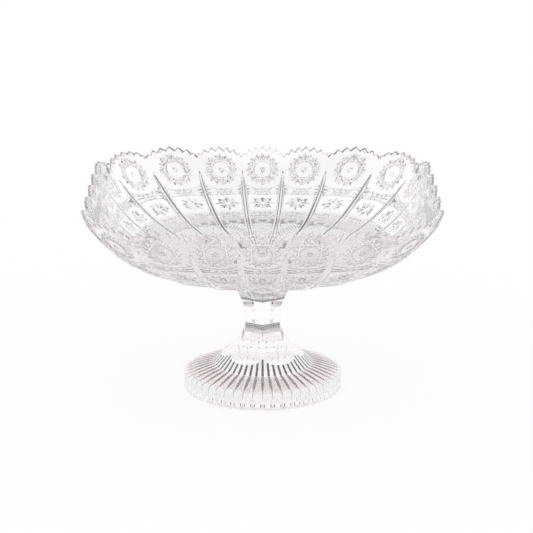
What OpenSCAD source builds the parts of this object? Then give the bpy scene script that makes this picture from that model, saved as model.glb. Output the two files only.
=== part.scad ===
// Footed compote bowl in clear cut crystal.
// A deep bowl with a rounded-square, saw-toothed rim stands on a waisted six-sided stem,
// which stands on a round foot with a rayed top. The three glass pieces are ground flat
// where they meet, and each joint holds a thin layer of clear adhesive.
// The Z axis runs up the middle of the object, and its underside rests at z = 0.

/* [Bowl] */
// Half of the bowl's width across its flat sides, at the dips of the rim
rim_half_w = 137; // [120:1:150]
// Height of the dips of the rim above the table
rim_z = 159.5; // [152:0.5:172]
// Height at which the straight underside would meet the inner edge of the profile
under_z = 87.7; // [87.4:0.1:90]
// Distance from the axis at which the profile of the underside starts
under_start_r = 20; // [15:1:24]
// Slope of the underside, in degrees
under_slope = 15.5; // [12:0.1:18]
// Slope of the steep upper wall, in degrees
wall_slope = 71.5; // [62:0.5:76]
// Wall thickness at the rim
rim_wall = 5; // [4:0.5:6]
// Glass thickness at the bottom of the bowl
base_wall = 9.5; // [8:0.5:11]
// Height at which the round plan starts to turn square
square_from_z = 103; // [98:1:115]
// Corner radius of the square plan, as a share of its half width
corner_share = 0.48; // [0.4:0.01:0.75]
// How quickly the plan turns square, as the power of the height
square_power = 0.8; // [0.7:0.1:1.5]
// Number of cut panels round the bowl
panels = 24; // [20:4:28]

/* [Rim] */
// Rise of each arch above the dips, measured to the valleys of its teeth
arch_rise = 5.1; // [3:0.1:7]
// Height of the tallest tooth above its valleys
tooth_h = 3.4; // [2:0.1:4]

/* [Cutting] */
// Full width of a rib between two panels
rib_w = 5.4; // [4:0.2:6]
// How far a rib's crest stands out of the surface
rib_h = 0.9; // [0.4:0.1:1.4]
// Height at which a rib comes to a point, level with the large stars
star_z = 148.7; // [146:0.1:150]
// Radius of a large star, to its points
star_r = 14.6; // [13:0.2:15]
// Radius of the clear disc in the middle of a large star
star_disc_r = 6.9; // [5:0.1:8]
// Depth of the deepest cuts of a large star
star_depth = 1.3; // [0.8:0.1:2]
// How far the two lattice bands stand out of the surface
band_h = 0.5; // [0.3:0.1:0.8]
// Depth of the furrow that stands for a band's cuts, below its raised edges
band_furrow = 0.7; // [0.4:0.1:1]
// Upper edge of the upper band, at the middle of a panel
band_1_top_z = 134.2; // [133:0.2:135.4]
// Lower edge of the upper band, at the middle of a panel
band_1_low_z = 129.6; // [127.6:0.2:131]
// Upper edge of the lower band, at the middle of a panel
band_2_top_z = 116.8; // [116:0.2:120]
// Lower edge of the lower band, at the middle of a panel
band_2_low_z = 113.8; // [112.6:0.2:114.8]
// Height at which the hatched field below ends and the row of small oval cells starts
oval_low_z = 108.4; // [107:0.2:110.4]
// How deep the hatching lies below the uncut surface, on the average
hatch_sink = 0.4; // [0.2:0.1:0.6]
// How far the upper edge of the upper band climbs towards the ribs
band_bow = 4.5; // [2:0.5:5]
// Width of the sloping edge of a band
band_edge = 0.6; // [0.4:0.1:1]

/* [Stem] */
// Half of the stem's width across its flats, at the waist
waist_half_w = 14; // [12:0.1:16]
// Height of the ground joint between the stem and the foot
waist_z = 55.4; // [52:0.2:57]
// Height of the straight stretch above the joint
waist_straight_h = 4; // [2:0.5:6]
// Radius of the hollow curve above the waist
upper_curve_r = 50; // [46:1:60]
// Height of the ground joint between the bowl and the stem
seat_z = 87.4; // [86:0.1:87.6]

/* [Foot] */
// Outer radius of the foot
foot_r = 64; // [58:0.2:70]
// Height of the foot's upright edge
foot_edge_h = 14.2; // [12:0.2:16]
// Radius of the hollow curve of the six petals, below the waist
lower_curve_r = 29.4; // [28:0.1:31]
// Radius at which the rayed top meets the steep collar
collar_r = 40; // [38:0.5:44]
// Height at which the rayed top meets the steep collar
collar_z = 21.4; // [20:0.2:24]
// How far the points between two petals lie inside the collar's foot
cusp_inset = 9.7; // [8.5:0.1:11]
// Height of the points between two petals
cusp_z = 31.2; // [30:0.2:33]
// Width of the sloping top edge of the foot
foot_bevel_w = 2.6; // [1.5:0.1:3.5]
// Height of the sloping top edge of the foot
foot_bevel_h = 0.8; // [0.5:0.1:1.2]
// Number of rays and of lobes round the foot
rays = 50; // [36:2:60]
// Depth of the grooves between the rays
ray_depth = 0.9; // [0.5:0.1:1.2]
// Depth of the notches between the lobes of the edge
notch_depth = 1; // [0.6:0.1:1.4]
// Inner radius of the ring that the foot rests on
rest_inner_r = 50; // [46:1:54]
// Depth of the hollow inside that ring
rest_hollow_h = 2.2; // [1:0.1:3]
// Width of the small slope at the ring's lower edges
rest_edge = 0.8; // [0.4:0.1:1.2]

/* [Adhesive] */
// Thickness of an adhesive layer
bond_t = 0.2; // [0.1:0.05:0.3]
// How far an adhesive layer stays inside the edge of its joint
bond_inset = 0.4; // [0.2:0.1:0.8]

/* [Hidden] */

$fn = 96;
glass = [0.95, 0.94, 0.94];
clear_glue = [0.97, 0.96, 0.92];
sides = 6;
side_turn = 360 / sides;
edge_turn = side_turn / 2;

// Heights and widths of the stem's ends
stem_low_z = waist_z + bond_t;
stem_top_z = seat_z - bond_t;
curve_from_z = waist_z + waist_straight_h;
stem_top_half_w = waist_half_w + upper_curve_r
    - sqrt(upper_curve_r * upper_curve_r - (stem_top_z - curve_from_z) * (stem_top_z - curve_from_z));
// The bowl's flat bottom reaches a little past the stem's top
pad_r = stem_top_half_w / cos(edge_turn) + bond_inset;
// One overrun serves all the cuts
overrun = rest_edge;

// Each panel covers one turn, and each half panel one half turn
panel_turn = 360 / panels;
half_turn = panel_turn / 2;

// The outer profile is a straight underside, a round shoulder and a straight steep wall.
// The shoulder's radius is the one that carries the profile to the rim.
shoulder_start_share = 0.594;
shoulder_start_d = rim_half_w * shoulder_start_share;
line_len = (shoulder_start_d - under_start_r) / cos(under_slope);
line_end_z = under_z + line_len * sin(under_slope);
wall_run = cos(wall_slope) / sin(wall_slope);
shoulder_r = (rim_half_w - shoulder_start_d - (rim_z - line_end_z) * wall_run)
    / (sin(wall_slope) - sin(under_slope) - (cos(under_slope) - cos(wall_slope)) * wall_run);
shoulder_len = shoulder_r * (wall_slope - under_slope) * PI / 180;
shoulder_end_z = line_end_z + shoulder_r * (cos(under_slope) - cos(wall_slope));

// Slope, distance from the axis and height of the outer profile, at a length s along it
function slope(s) = min(wall_slope, under_slope + max(0, s - line_len) / shoulder_r * 180 / PI);
function prof_d(s) = under_start_r + min(s, line_len) * cos(under_slope)
    + shoulder_r * (sin(slope(s)) - sin(under_slope))
    + max(0, s - line_len - shoulder_len) * cos(wall_slope);
function prof_z(s) = under_z + min(s, line_len) * sin(under_slope)
    + shoulder_r * (cos(under_slope) - cos(slope(s)))
    + max(0, s - line_len - shoulder_len) * sin(wall_slope);
// Length along the profile at a height z
function s_at(z) = z < line_end_z ? (z - under_z) / sin(under_slope)
    : z < shoulder_end_z ? line_len
        + shoulder_r * (acos(cos(under_slope) - (z - line_end_z) / shoulder_r) - under_slope) * PI / 180
    : line_len + shoulder_len + (z - shoulder_end_z) / sin(wall_slope);

// The plan is a circle low down and a square with round corners at the rim.
// square_at gives the square's reach at an angle, as a share of its half width.
flat_share = 1 - corner_share;
quarter_turn = 90;
function fold(a) = let (b = a + quarter_turn / 2)
    abs(b - quarter_turn * floor(b / quarter_turn) - quarter_turn / 2);
function corner_reach(t) = let (b = flat_share * (cos(t) + sin(t)))
    b + sqrt(max(0, b * b - 2 * flat_share * flat_share + corner_share * corner_share));
function square_at(a) = let (t = fold(a)) tan(t) > flat_share ? corner_reach(t) : 1 / cos(t);
function squareness(z) = pow(min(1, max(0, (z - square_from_z) / (rim_z - square_from_z))), square_power);

// A point of the outer surface at angle a and length s, raised by h along the profile's normal
function pt(a, s, h) = let (
        z = prof_z(s), q = squareness(z),
        d = (prof_d(s) + h * sin(slope(s))) * (1 - q + q * square_at(a)))
    [d * cos(a), d * sin(a), z - h * cos(slope(s))];

// Panel k is centred on this angle, and the first one faces the front
function panel_a(k) = k * panel_turn - quarter_turn;
// Width of panel k at a length s
function panel_w(k, s) = norm(pt(panel_a(k) + half_turn, s, 0) - pt(panel_a(k) - half_turn, s, 0));
// The angle that lies x across panel k at a length s
function across(k, x, s) = panel_a(k) + panel_turn * x / panel_w(k, s);

// Ribs narrow to a point above, and near the stem they keep to a share of the panel
rib_share = 0.42;
rib_full_s = s_at(band_1_low_z);
star_s = s_at(star_z);
function rib_taper(s) = s < rib_full_s ? 1 : max(0, (star_s - s) / (star_s - rib_full_s));
function rib_half(k, s) = min(rib_w, rib_share * panel_w(k, s)) * sqrt(rib_taper(s)) / 2;

// Teeth of the rim on one half of an arch, from its middle to its dip: peaks and valleys in turn
tooth_place_shares = [0, 0.17, 0.34, 0.48, 0.655, 0.77, 0.885, 1];
tooth_height_shares = [1, 0, 0.98, 0, 0.94, 0, 0.59, 0];
half_teeth = len(tooth_place_shares) - 1;
function tooth_u(i) = sign(i) * tooth_place_shares[abs(i)];
function tooth_z(i) = rim_z + arch_rise * (1 - tooth_u(i) * tooth_u(i))
    + tooth_h * tooth_height_shares[abs(i)];

// Thickness of the glass at a length s, from the bottom to the rim
rim_s = s_at(rim_z);
function wall_at(s) = base_wall + (rim_wall - base_wall) * min(1, s / rim_s);

// The rows of a panel, from the stem up: length at the panel's middle, rise towards the ribs, height.
// The hatched field is sunk between two narrow slopes, and one plain row crosses the middle cells.
hatch_rows = 6;
oval_s = s_at(oval_low_z);
cells_s = (s_at(band_2_top_z) + s_at(band_1_low_z)) / 2;
pad_s = (pad_r + rest_edge - under_start_r) / cos(under_slope);
cross_shares = [-0.5, 0, 0.5];
function band(top_z, low_z, bow_low, bow_top) = [
    [s_at(low_z) - band_edge, bow_low, 0], [s_at(low_z), bow_low, band_h],
    [(s_at(low_z) + s_at(top_z)) / 2, (bow_low + bow_top) / 2, band_h - band_furrow],
    [s_at(top_z), bow_top, band_h], [s_at(top_z) + band_edge, bow_top, 0]];
rows = concat(
    [[pad_s, 0, 0]],
    [for (i = [0 : hatch_rows])
        [pad_s + band_edge + (oval_s - pad_s - band_edge) * i / hatch_rows, 0, -hatch_sink]],
    [[oval_s + band_edge, 0, 0]],
    band(band_2_top_z, band_2_low_z, -band_edge, band_edge),
    [[cells_s, 0, 0]],
    band(band_1_top_z, band_1_low_z, -band_edge, band_bow));
top_row = len(rows) - 1;

// The points that panel k adds in row r: the rib's crest, then five across the panel
row_w = len(cross_shares) + 3;
function row_pts(k, r) = let (s0 = rows[r][0], bow = rows[r][1], h = rows[r][2],
        s1 = s0 + bow, e = rib_half(k, s1) / panel_w(k, s1) * 2)
    concat(
        [pt(panel_a(k) - half_turn, s1, rib_h)],
        [for (u = concat([e - 1], cross_shares, [1 - e])) let (s = s0 + bow * u * u)
            pt(panel_a(k) + u * half_turn, s, h)]);

// The upper part of panel k: half ribs, the large star and the outer edge of the rim
rib_mid_s = (star_s + rows[top_row][0] + band_bow) / 2;
star_points = 16;
star_turn = 360 / star_points;
notch_share = 0.86;
trough_shares = [0.8, 0.66];
depth_shares = [1, 0.5];
function star_pt(k, r, a, h) = let (s = star_s + r * sin(a)) pt(across(k, r * cos(a), s), s, h);
function upper_pts(k) = let (e = rib_half(k, rib_mid_s) / panel_w(k, rib_mid_s) * 2) concat(
    [pt(panel_a(k) - half_turn, rib_mid_s, rib_h), pt(panel_a(k) - half_turn, star_s, 0),
        pt(panel_a(k) - (1 - e) * half_turn, rib_mid_s, 0),
        pt(panel_a(k) + (1 - e) * half_turn, rib_mid_s, 0)],
    [for (i = [-half_teeth : half_teeth - 1]) pt(panel_a(k) + tooth_u(i) * half_turn, s_at(tooth_z(i)), 0)],
    [star_pt(k, 0, 0, 0)],
    [for (i = [0 : star_points - 1]) star_pt(k, star_disc_r, i * star_turn, 0)],
    [for (i = [0 : star_points - 1]) star_pt(k, star_r * trough_shares[i % 2], i * star_turn,
        -star_depth * depth_shares[i % 2])],
    [for (i = [0 : 2 * star_points - 1])
        star_pt(k, star_r * (i % 2 == 0 ? 1 : notch_share), i * star_turn / 2, 0)]);

// The inside of panel k: the inner edge of the rim, then smooth rows down to the flat bottom
wall_rows = 5;
floor_shares = [0.62, 0.28, 0];
inner_ss = concat([for (i = [1 : wall_rows]) s_at(rim_z - (rim_z - oval_low_z) * i / wall_rows)],
    [for (f = floor_shares) oval_s * f]);
inner_shares = [-1, -0.5, 0, 0.5];
inner_w = len(inner_shares);
function inner_pts(k) = concat(
    [for (i = [-half_teeth : half_teeth - 1])
        pt(panel_a(k) + tooth_u(i) * half_turn, s_at(tooth_z(i)) - rim_wall * wall_run, -rim_wall)],
    [for (s = inner_ss) for (u = inner_shares) pt(panel_a(k) + u * half_turn, s, -wall_at(s))]);

// Places of a panel's points in the list of all points
rim_n = 2 * half_teeth;
at_mid = row_w * len(rows);
at_rim = at_mid + 4;
at_star = at_rim + rim_n;
at_ring = at_star + 1;
at_trough = at_ring + star_points;
at_edge = at_trough + star_points;
at_in_rim = at_edge + 2 * star_points;
at_in = at_in_rim + rim_n;
at_pad = at_in + inner_w * len(inner_ss);
panel_n = at_pad + 1;
function id(k, i) = (k % panels) * panel_n + i;
function row_ids(k, r) = concat([for (i = [0 : row_w - 1]) id(k, r * row_w + i)],
    [id(k + 1, r * row_w)]);
function rim_ids(k, from) = concat([for (i = [0 : rim_n - 1]) id(k, from + i)], [id(k + 1, from)]);
function in_ids(k, r) = concat([for (i = [0 : inner_w - 1]) id(k, at_in + r * inner_w + i)],
    [id(k + 1, at_in + r * inner_w)]);

// Triangles between two chains of points a and b, which their places ua and ub put in order
function on_a(c, a, ua, b, ub) = c[1] >= len(b) - 1 ? true : c[0] >= len(a) - 1 ? false
    : ua[c[0] + 1] + ua[c[0]] <= ub[c[1] + 1] + ub[c[1]];
function zip(a, ua, b, ub) = [for (c = [0, 0]; c[0] < len(a) - 1 || c[1] < len(b) - 1;
        c = on_a(c, a, ua, b, ub) ? [c[0] + 1, c[1]] : [c[0], c[1] + 1])
    on_a(c, a, ua, b, ub) ? [a[c[0]], b[c[1]], a[c[0] + 1]] : [a[c[0]], b[c[1]], b[c[1] + 1]]];
function even(n) = [for (i = [0 : n - 1]) i / (n - 1)];
function turned(faces) = [for (f = faces) [f[2], f[1], f[0]]];
function join(lists) = [for (l = lists) for (f = l) f];

// The open field round a large star, as a closed chain from the right rib's point
function field_ids(k) = concat([id(k + 1, at_mid + 1), id(k + 1, at_rim)],
    [for (i = [rim_n - 1 : -1 : 0]) id(k, at_rim + i)],
    [id(k, at_mid + 1), id(k, at_mid + 2)],
    [for (i = [1 : row_w - 1]) id(k, top_row * row_w + i)],
    [id(k, at_mid + 3), id(k + 1, at_mid + 1)]);
function field_places(k) = let (
        low = rows[top_row][0], bow = rows[top_row][1],
        e = rib_half(k, low + bow) / panel_w(k, low + bow) * 2,
        m = rib_half(k, rib_mid_s) / panel_w(k, rib_mid_s) * 2)
    concat([[1, star_s], [1, rim_s]],
        [for (i = [half_teeth - 1 : -1 : -half_teeth]) [tooth_u(i), s_at(tooth_z(i))]],
        [[-1, star_s], [m - 1, rib_mid_s]],
        [for (u = concat([e - 1], cross_shares, [1 - e])) [u, low + bow * u * u]],
        [[1 - m, rib_mid_s], [1, star_s]]);
function polar(k, p, last) = let (a = atan2(p[1] - star_s, p[0] * panel_w(k, p[1]) / 2))
    last ? 360 : a < 0 ? a + 360 : a;
function field_angles(k) = let (p = field_places(k))
    [for (i = [0 : len(p) - 1]) polar(k, p[i], i == len(p) - 1)];
function loop_ids(k, from, n) = [for (i = [0 : n]) id(k, from + i % n)];
function loop_angles(n) = [for (i = [0 : n]) i * 360 / n];

module bowl() {
    points = join([for (k = [0 : panels - 1]) concat(
        join([for (r = [0 : top_row]) row_pts(k, r)]), upper_pts(k), inner_pts(k),
        [[pad_r * cos(panel_a(k) - half_turn), pad_r * sin(panel_a(k) - half_turn), seat_z]])]);
    mid = len(points);
    outside = join([for (k = [0 : panels - 1]) concat(
        zip([id(k, at_pad), id(k + 1, at_pad)], [0, 1], row_ids(k, 0), even(row_w + 1)),
        join([for (r = [1 : top_row])
            zip(row_ids(k, r - 1), even(row_w + 1), row_ids(k, r), even(row_w + 1))]),
        [[id(k, at_mid), id(k, at_mid + 1), id(k, at_mid + 2)],
            [id(k + 1, at_mid), id(k, at_mid + 3), id(k + 1, at_mid + 1)]],
        zip([id(k, top_row * row_w), id(k, top_row * row_w + 1)], [0, 1],
            [id(k, at_mid), id(k, at_mid + 2)], [0, 1]),
        zip([id(k, top_row * row_w + row_w - 1), id(k + 1, top_row * row_w)], [0, 1],
            [id(k, at_mid + 3), id(k + 1, at_mid)], [0, 1]),
        turned(zip(loop_ids(k, at_edge, 2 * star_points), loop_angles(2 * star_points),
            field_ids(k), field_angles(k))),
        turned(zip(loop_ids(k, at_trough, star_points), loop_angles(star_points),
            loop_ids(k, at_edge, 2 * star_points), loop_angles(2 * star_points))),
        turned(zip(loop_ids(k, at_ring, star_points), loop_angles(star_points),
            loop_ids(k, at_trough, star_points), loop_angles(star_points))),
        [for (i = [0 : star_points - 1])
            [id(k, at_star), id(k, at_ring + (i + 1) % star_points), id(k, at_ring + i)]],
        zip(rim_ids(k, at_rim), even(rim_n + 1), rim_ids(k, at_in_rim), even(rim_n + 1)),
        zip(rim_ids(k, at_in_rim), even(rim_n + 1), in_ids(k, 0), even(inner_w + 1)),
        join([for (r = [1 : len(inner_ss) - 1])
            zip(in_ids(k, r - 1), even(inner_w + 1), in_ids(k, r), even(inner_w + 1))]))]);
    bottoms = join([for (k = [0 : panels - 1]) concat(
        [[mid, id(k, at_pad), id(k + 1, at_pad)]],
        [for (i = [0 : inner_w - 1]) let (c = in_ids(k, len(inner_ss) - 1)) [mid + 1, c[i + 1], c[i]]])]);
    floor_z = prof_z(0) + base_wall * cos(under_slope);
    color(glass)
        polyhedron(concat(points, [[0, 0, seat_z], [0, 0, floor_z]]), concat(outside, bottoms));
}

// A six-sided bar with an edge towards the front
module hex_bar(half_w, z0, z1) {
    translate([0, 0, z0])
        rotate(-90)
            cylinder(r = half_w / cos(edge_turn), h = z1 - z0, $fn = sides);
}

// A lying drum beside each of the six flats, which hollows that flat from the height mid_z
module flute_cuts(curve_r, mid_z) {
    for (i = [0 : sides - 1])
        rotate(i * side_turn)
            translate([waist_half_w + curve_r, 0, mid_z])
                rotate([90, 0, 0])
                    cylinder(r = curve_r, h = 4 * curve_r, center = true, $fn = 180);
}

module stem() {
    color(glass)
        difference() {
            hex_bar(stem_top_half_w + overrun, stem_low_z, stem_top_z);
            flute_cuts(upper_curve_r, curve_from_z);
            for (i = [0 : sides - 1])
                rotate(i * side_turn)
                    translate([waist_half_w, -stem_top_half_w, stem_low_z - overrun])
                        cube([stem_top_half_w, 2 * stem_top_half_w, curve_from_z - stem_low_z + overrun]);
        }
}

// The foot before its flutes, rays and notches are cut
collar_run = cusp_inset / (cusp_z - collar_z);
neck_r = waist_half_w / cos(edge_turn) + overrun;
neck_z = collar_z + (collar_r - neck_r) / collar_run;
module foot_blank() {
    rotate_extrude()
        polygon([
            [0, rest_hollow_h],
            [rest_inner_r - rest_edge, rest_hollow_h],
            [rest_inner_r, 0],
            [foot_r - rest_edge, 0],
            [foot_r, rest_edge],
            [foot_r, foot_edge_h],
            [foot_r - foot_bevel_w, foot_edge_h + foot_bevel_h],
            [collar_r, collar_z],
            [neck_r, neck_z],
            [neck_r, waist_z],
            [0, waist_z]]);
}

// The rayed top falls from the collar to the bevel
top_fall = collar_z - foot_edge_h - foot_bevel_h;
top_run = foot_r - foot_bevel_w - collar_r;
top_tilt = atan2(top_fall, top_run);
ray_turn = 360 / rays;
ray_side = ray_depth * sqrt(2);
notch_side = notch_depth * sqrt(2);
module ray_cut() {
    translate([collar_r, 0, collar_z])
        rotate([0, top_tilt, 0])
            rotate([45, 0, 0])
                translate([ray_depth, -ray_side / 2, -ray_side / 2])
                    cube([top_run + foot_bevel_w, ray_side, ray_side]);
}

module notch_cut() {
    translate([foot_r, 0, -overrun])
        rotate(45)
            translate([-notch_side / 2, -notch_side / 2, 0])
                cube([notch_side, notch_side, foot_edge_h + foot_bevel_h + 2 * overrun]);
}

module foot() {
    color(glass)
        difference() {
            foot_blank();
            flute_cuts(lower_curve_r, waist_z);
            for (i = [0 : rays - 1])
                rotate((i + 0.5) * ray_turn) {
                    ray_cut();
                    notch_cut();
                }
        }
}

module bowl_adhesive() {
    color(clear_glue)
        hex_bar(stem_top_half_w - bond_inset, stem_top_z, seat_z);
}

module foot_adhesive() {
    color(clear_glue)
        hex_bar(waist_half_w - bond_inset, waist_z, stem_low_z);
}

bowl();
stem();
foot();
bowl_adhesive();
foot_adhesive();
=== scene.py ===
"""Looks of the footed compote bowl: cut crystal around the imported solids, a white studio and the camera.

The bowl's wall is drawn flat, panel by panel, as creases with V-shaped cuts between them. Each drawing is
cut into triangles and carried onto the wall. The stem and the foot are grids of height and angle. Lengths
are in metres and angles in radians, unless a name says otherwise.
"""
import logging
import math
from collections.abc import Callable
from dataclasses import dataclass, field
from enum import Enum

import bpy
import numpy as np
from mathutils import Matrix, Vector
from mathutils.geometry import delaunay_2d_cdt


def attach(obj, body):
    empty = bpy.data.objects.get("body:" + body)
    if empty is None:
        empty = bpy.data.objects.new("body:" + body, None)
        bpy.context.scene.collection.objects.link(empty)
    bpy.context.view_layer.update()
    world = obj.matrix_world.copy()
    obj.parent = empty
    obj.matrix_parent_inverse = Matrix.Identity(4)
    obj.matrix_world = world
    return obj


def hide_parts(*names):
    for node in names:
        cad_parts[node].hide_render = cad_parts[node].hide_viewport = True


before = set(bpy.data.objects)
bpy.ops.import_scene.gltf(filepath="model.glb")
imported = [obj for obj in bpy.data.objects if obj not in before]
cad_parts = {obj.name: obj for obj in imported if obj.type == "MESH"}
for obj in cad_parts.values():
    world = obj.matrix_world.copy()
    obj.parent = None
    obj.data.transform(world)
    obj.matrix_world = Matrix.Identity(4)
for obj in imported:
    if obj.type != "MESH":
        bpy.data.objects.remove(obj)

LOG = logging.getLogger("compote_bowl")
TURN = 2 * math.pi
# Lengths and heights that differ by less than this are the same
NEARLY = 1e-6
# Points of a drawing that lie nearer than this become one
CREASE_MERGE = 1e-5
# Decimals to which places along a panel's lower edge are told apart
EDGE_DECIMALS = 9
# Each ground face stops this short of the adhesive, so that light meets one surface at a time
FACE_GAP = 0.00002
# The cut mark of the bowl's inner faces, which tells them from the outer ones
INNER_MARK = -1.0
# A cut's shallow edge, drawn in painted shade: the cut mark in its middle, and how far the mark may be from
# that
EDGE_MARK, EDGE_REACH = 0.16, 0.12
# Height of the waves that fire polishing leaves, at a ripple of 1
RIPPLE_H = 0.001

Array = np.ndarray
Colour = tuple[float, float, float]
Span = tuple[float, float]
Socket = bpy.types.NodeSocket
Feeds = dict[str | int, object]
Width = Callable[[Array], Array]
WHITE: Colour = (1.0, 1.0, 1.0)


def turns_of(count: int) -> Array:
    """Angles of rays spread evenly round a circle, the first at 0."""
    return np.arange(count) * TURN / count


def unit(turns: Array) -> Array:
    """Points of a circle of radius 1 at some angles."""
    return np.stack([np.cos(turns), np.sin(turns)], -1)


def unit_fraction(value: Array, low: float, high: float) -> Array:
    """How far a value is from low to high, held between 0 and 1."""
    return np.clip((value - low) / (high - low), 0, 1)


@dataclass
class Shell:
    """Triangles being gathered into one closed mesh: points, faces, smooth marks and point marks."""

    points: list[Array] = field(default_factory=list)
    faces: list[Array] = field(default_factory=list)
    smooth: list[Array] = field(default_factory=list)
    cut: list[Array] = field(default_factory=list)
    rose: list[Array] = field(default_factory=list)
    count: int = 0

    def add(self, points: Array, faces: Array, smooth: Array | bool, cut: Array | float = 0.0,
            rose: Array | float = 0.0) -> None:
        """Adds a block of triangles.

        Args:
            points: Places of the block's points, one row each.
            faces: Rows of three indices into those points, counter-clockwise from outside.
            smooth: True for a face that is shaded as part of a curve.
            cut: How deep in a cut or in painted shade each point is, from 0 to 1, or INNER_MARK.
            rose: How rosy each point is, from 0 to 1.
        """
        self.points.append(points)
        self.faces.append(faces + self.count)
        self.smooth.append(np.broadcast_to(smooth, len(faces)))
        self.cut.append(np.broadcast_to(cut, len(points)))
        self.rose.append(np.broadcast_to(rose, len(points)))
        self.count += len(points)

    def add_grid(self, grid: Array, smooth: Array | bool, cut: Array | float = 0.0,
                 rose: Array | float = 0.0) -> None:
        """Adds a grid of points, rows by columns, whose columns run counter-clockwise and rows upwards.

        Args:
            grid: Places, shaped rows by columns by 3.
            smooth: True for smooth shading, or one mark for each cell, shaped rows - 1 by columns - 1.
            cut: Cut marks, shaped rows by columns, or one for all.
            rose: Rose marks in the same way.
        """
        rows, columns = grid.shape[:2]
        index = np.arange(rows * columns).reshape(rows, columns)
        a, b, c, d = index[:-1, :-1], index[:-1, 1:], index[1:, 1:], index[1:, :-1]
        faces = np.stack([np.stack([a, b, c], -1), np.stack([a, c, d], -1)], -2).reshape(-1, 3)
        marks = np.repeat(np.broadcast_to(smooth, (rows - 1, columns - 1)).ravel(), 2)
        self.add(grid.reshape(-1, 3), faces, marks, np.broadcast_to(cut, (rows, columns)).ravel(),
                 np.broadcast_to(rose, (rows, columns)).ravel())

    def add_fan(self, ring: Array, centre: Array, upwards: bool, smooth: bool, cut: float = 0.0) -> None:
        """Closes a ring of points, counter-clockwise from above, with triangles to its centre.

        Args:
            ring: Places of the ring, its first point not repeated.
            centre: Place of the centre.
            upwards: True if the closed face looks up.
            smooth: True for smooth shading.
            cut: The cut mark of all its points.
        """
        n = len(ring)
        first = np.arange(n)
        second = (first + 1) % n
        hub = np.full(n, n)
        order = (first, second, hub) if upwards else (second, first, hub)
        self.add(np.vstack([ring, centre]), np.stack(order, -1), smooth, cut)

    def build(self, name: str, weld: float = 2e-6) -> bpy.types.Object:
        """Welds points that lie in one place, drops faces without area and makes the object.

        The edges of flat faces are sharp, so that the smooth faces beside them keep a curve's normals.

        Args:
            name: Name of the object and its mesh.
            weld: Points nearer than this become one.

        Returns:
            The object, at the origin, linked to the scene.
        """
        points, own_faces = np.vstack(self.points), np.vstack(self.faces)
        smooth = np.concatenate(self.smooth)
        keys = np.round(points / weld).astype(np.int64)
        _, first, back = np.unique(keys, axis=0, return_index=True, return_inverse=True)
        faces = back.reshape(-1)[own_faces]
        real = (faces[:, 0] != faces[:, 1]) & (faces[:, 1] != faces[:, 2]) & (faces[:, 2] != faces[:, 0])
        # Flat faces come first: the last face at a point gives the normal that smooth shading starts from
        order = np.flatnonzero(real)[np.argsort(smooth[real], kind="stable")]
        faces, smooth = faces[order], smooth[order]
        mesh = bpy.data.meshes.new(name)
        mesh.from_pydata(points[first].tolist(), [], faces.tolist())
        mesh.polygons.foreach_set("use_smooth", smooth.tolist())
        edge_of = np.empty(len(mesh.loops), np.int32)
        mesh.loops.foreach_get("edge_index", edge_of)
        sharp = np.zeros(len(mesh.edges), bool)
        sharp[edge_of[np.repeat(~smooth, 3)]] = True
        mesh.edges.foreach_set("use_edge_sharp", sharp)
        corners = own_faces[order].ravel()
        for label, marks in (("cut", self.cut), ("rose", self.rose)):
            mark = mesh.attributes.new(label, "FLOAT", "CORNER")
            mark.data.foreach_set("value", np.concatenate(marks)[corners].astype(np.float32))
        mesh.update()
        thing = bpy.data.objects.new(name, mesh)
        bpy.context.scene.collection.objects.link(thing)
        return thing


def zipper(lower: Array, lower_places: Array, upper: Array, upper_places: Array) -> Array:
    """Triangles between two chains of points that run the same way.

    The chains' steps are sorted by the place of each step's middle, and each step makes one triangle with
    the point that the other chain has reached by then.

    Args:
        lower: Indices along the lower chain.
        lower_places: Rising places of its points.
        upper: Indices along the upper chain.
        upper_places: Rising places of its points.

    Returns:
        Rows of three indices, counter-clockwise when the chains run left to right.
    """
    low_middles = (lower_places[1:] + lower_places[:-1]) / 2
    high_middles = (upper_places[1:] + upper_places[:-1]) / 2
    reached = upper[np.searchsorted(high_middles, low_middles, side="left")]
    low_faces = np.stack([lower[:-1], lower[1:], reached], -1)
    reached = lower[np.searchsorted(low_middles, high_middles, side="right")]
    high_faces = np.stack([upper[:-1], reached, upper[1:]], -1)
    return np.vstack([low_faces, high_faces])


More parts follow.
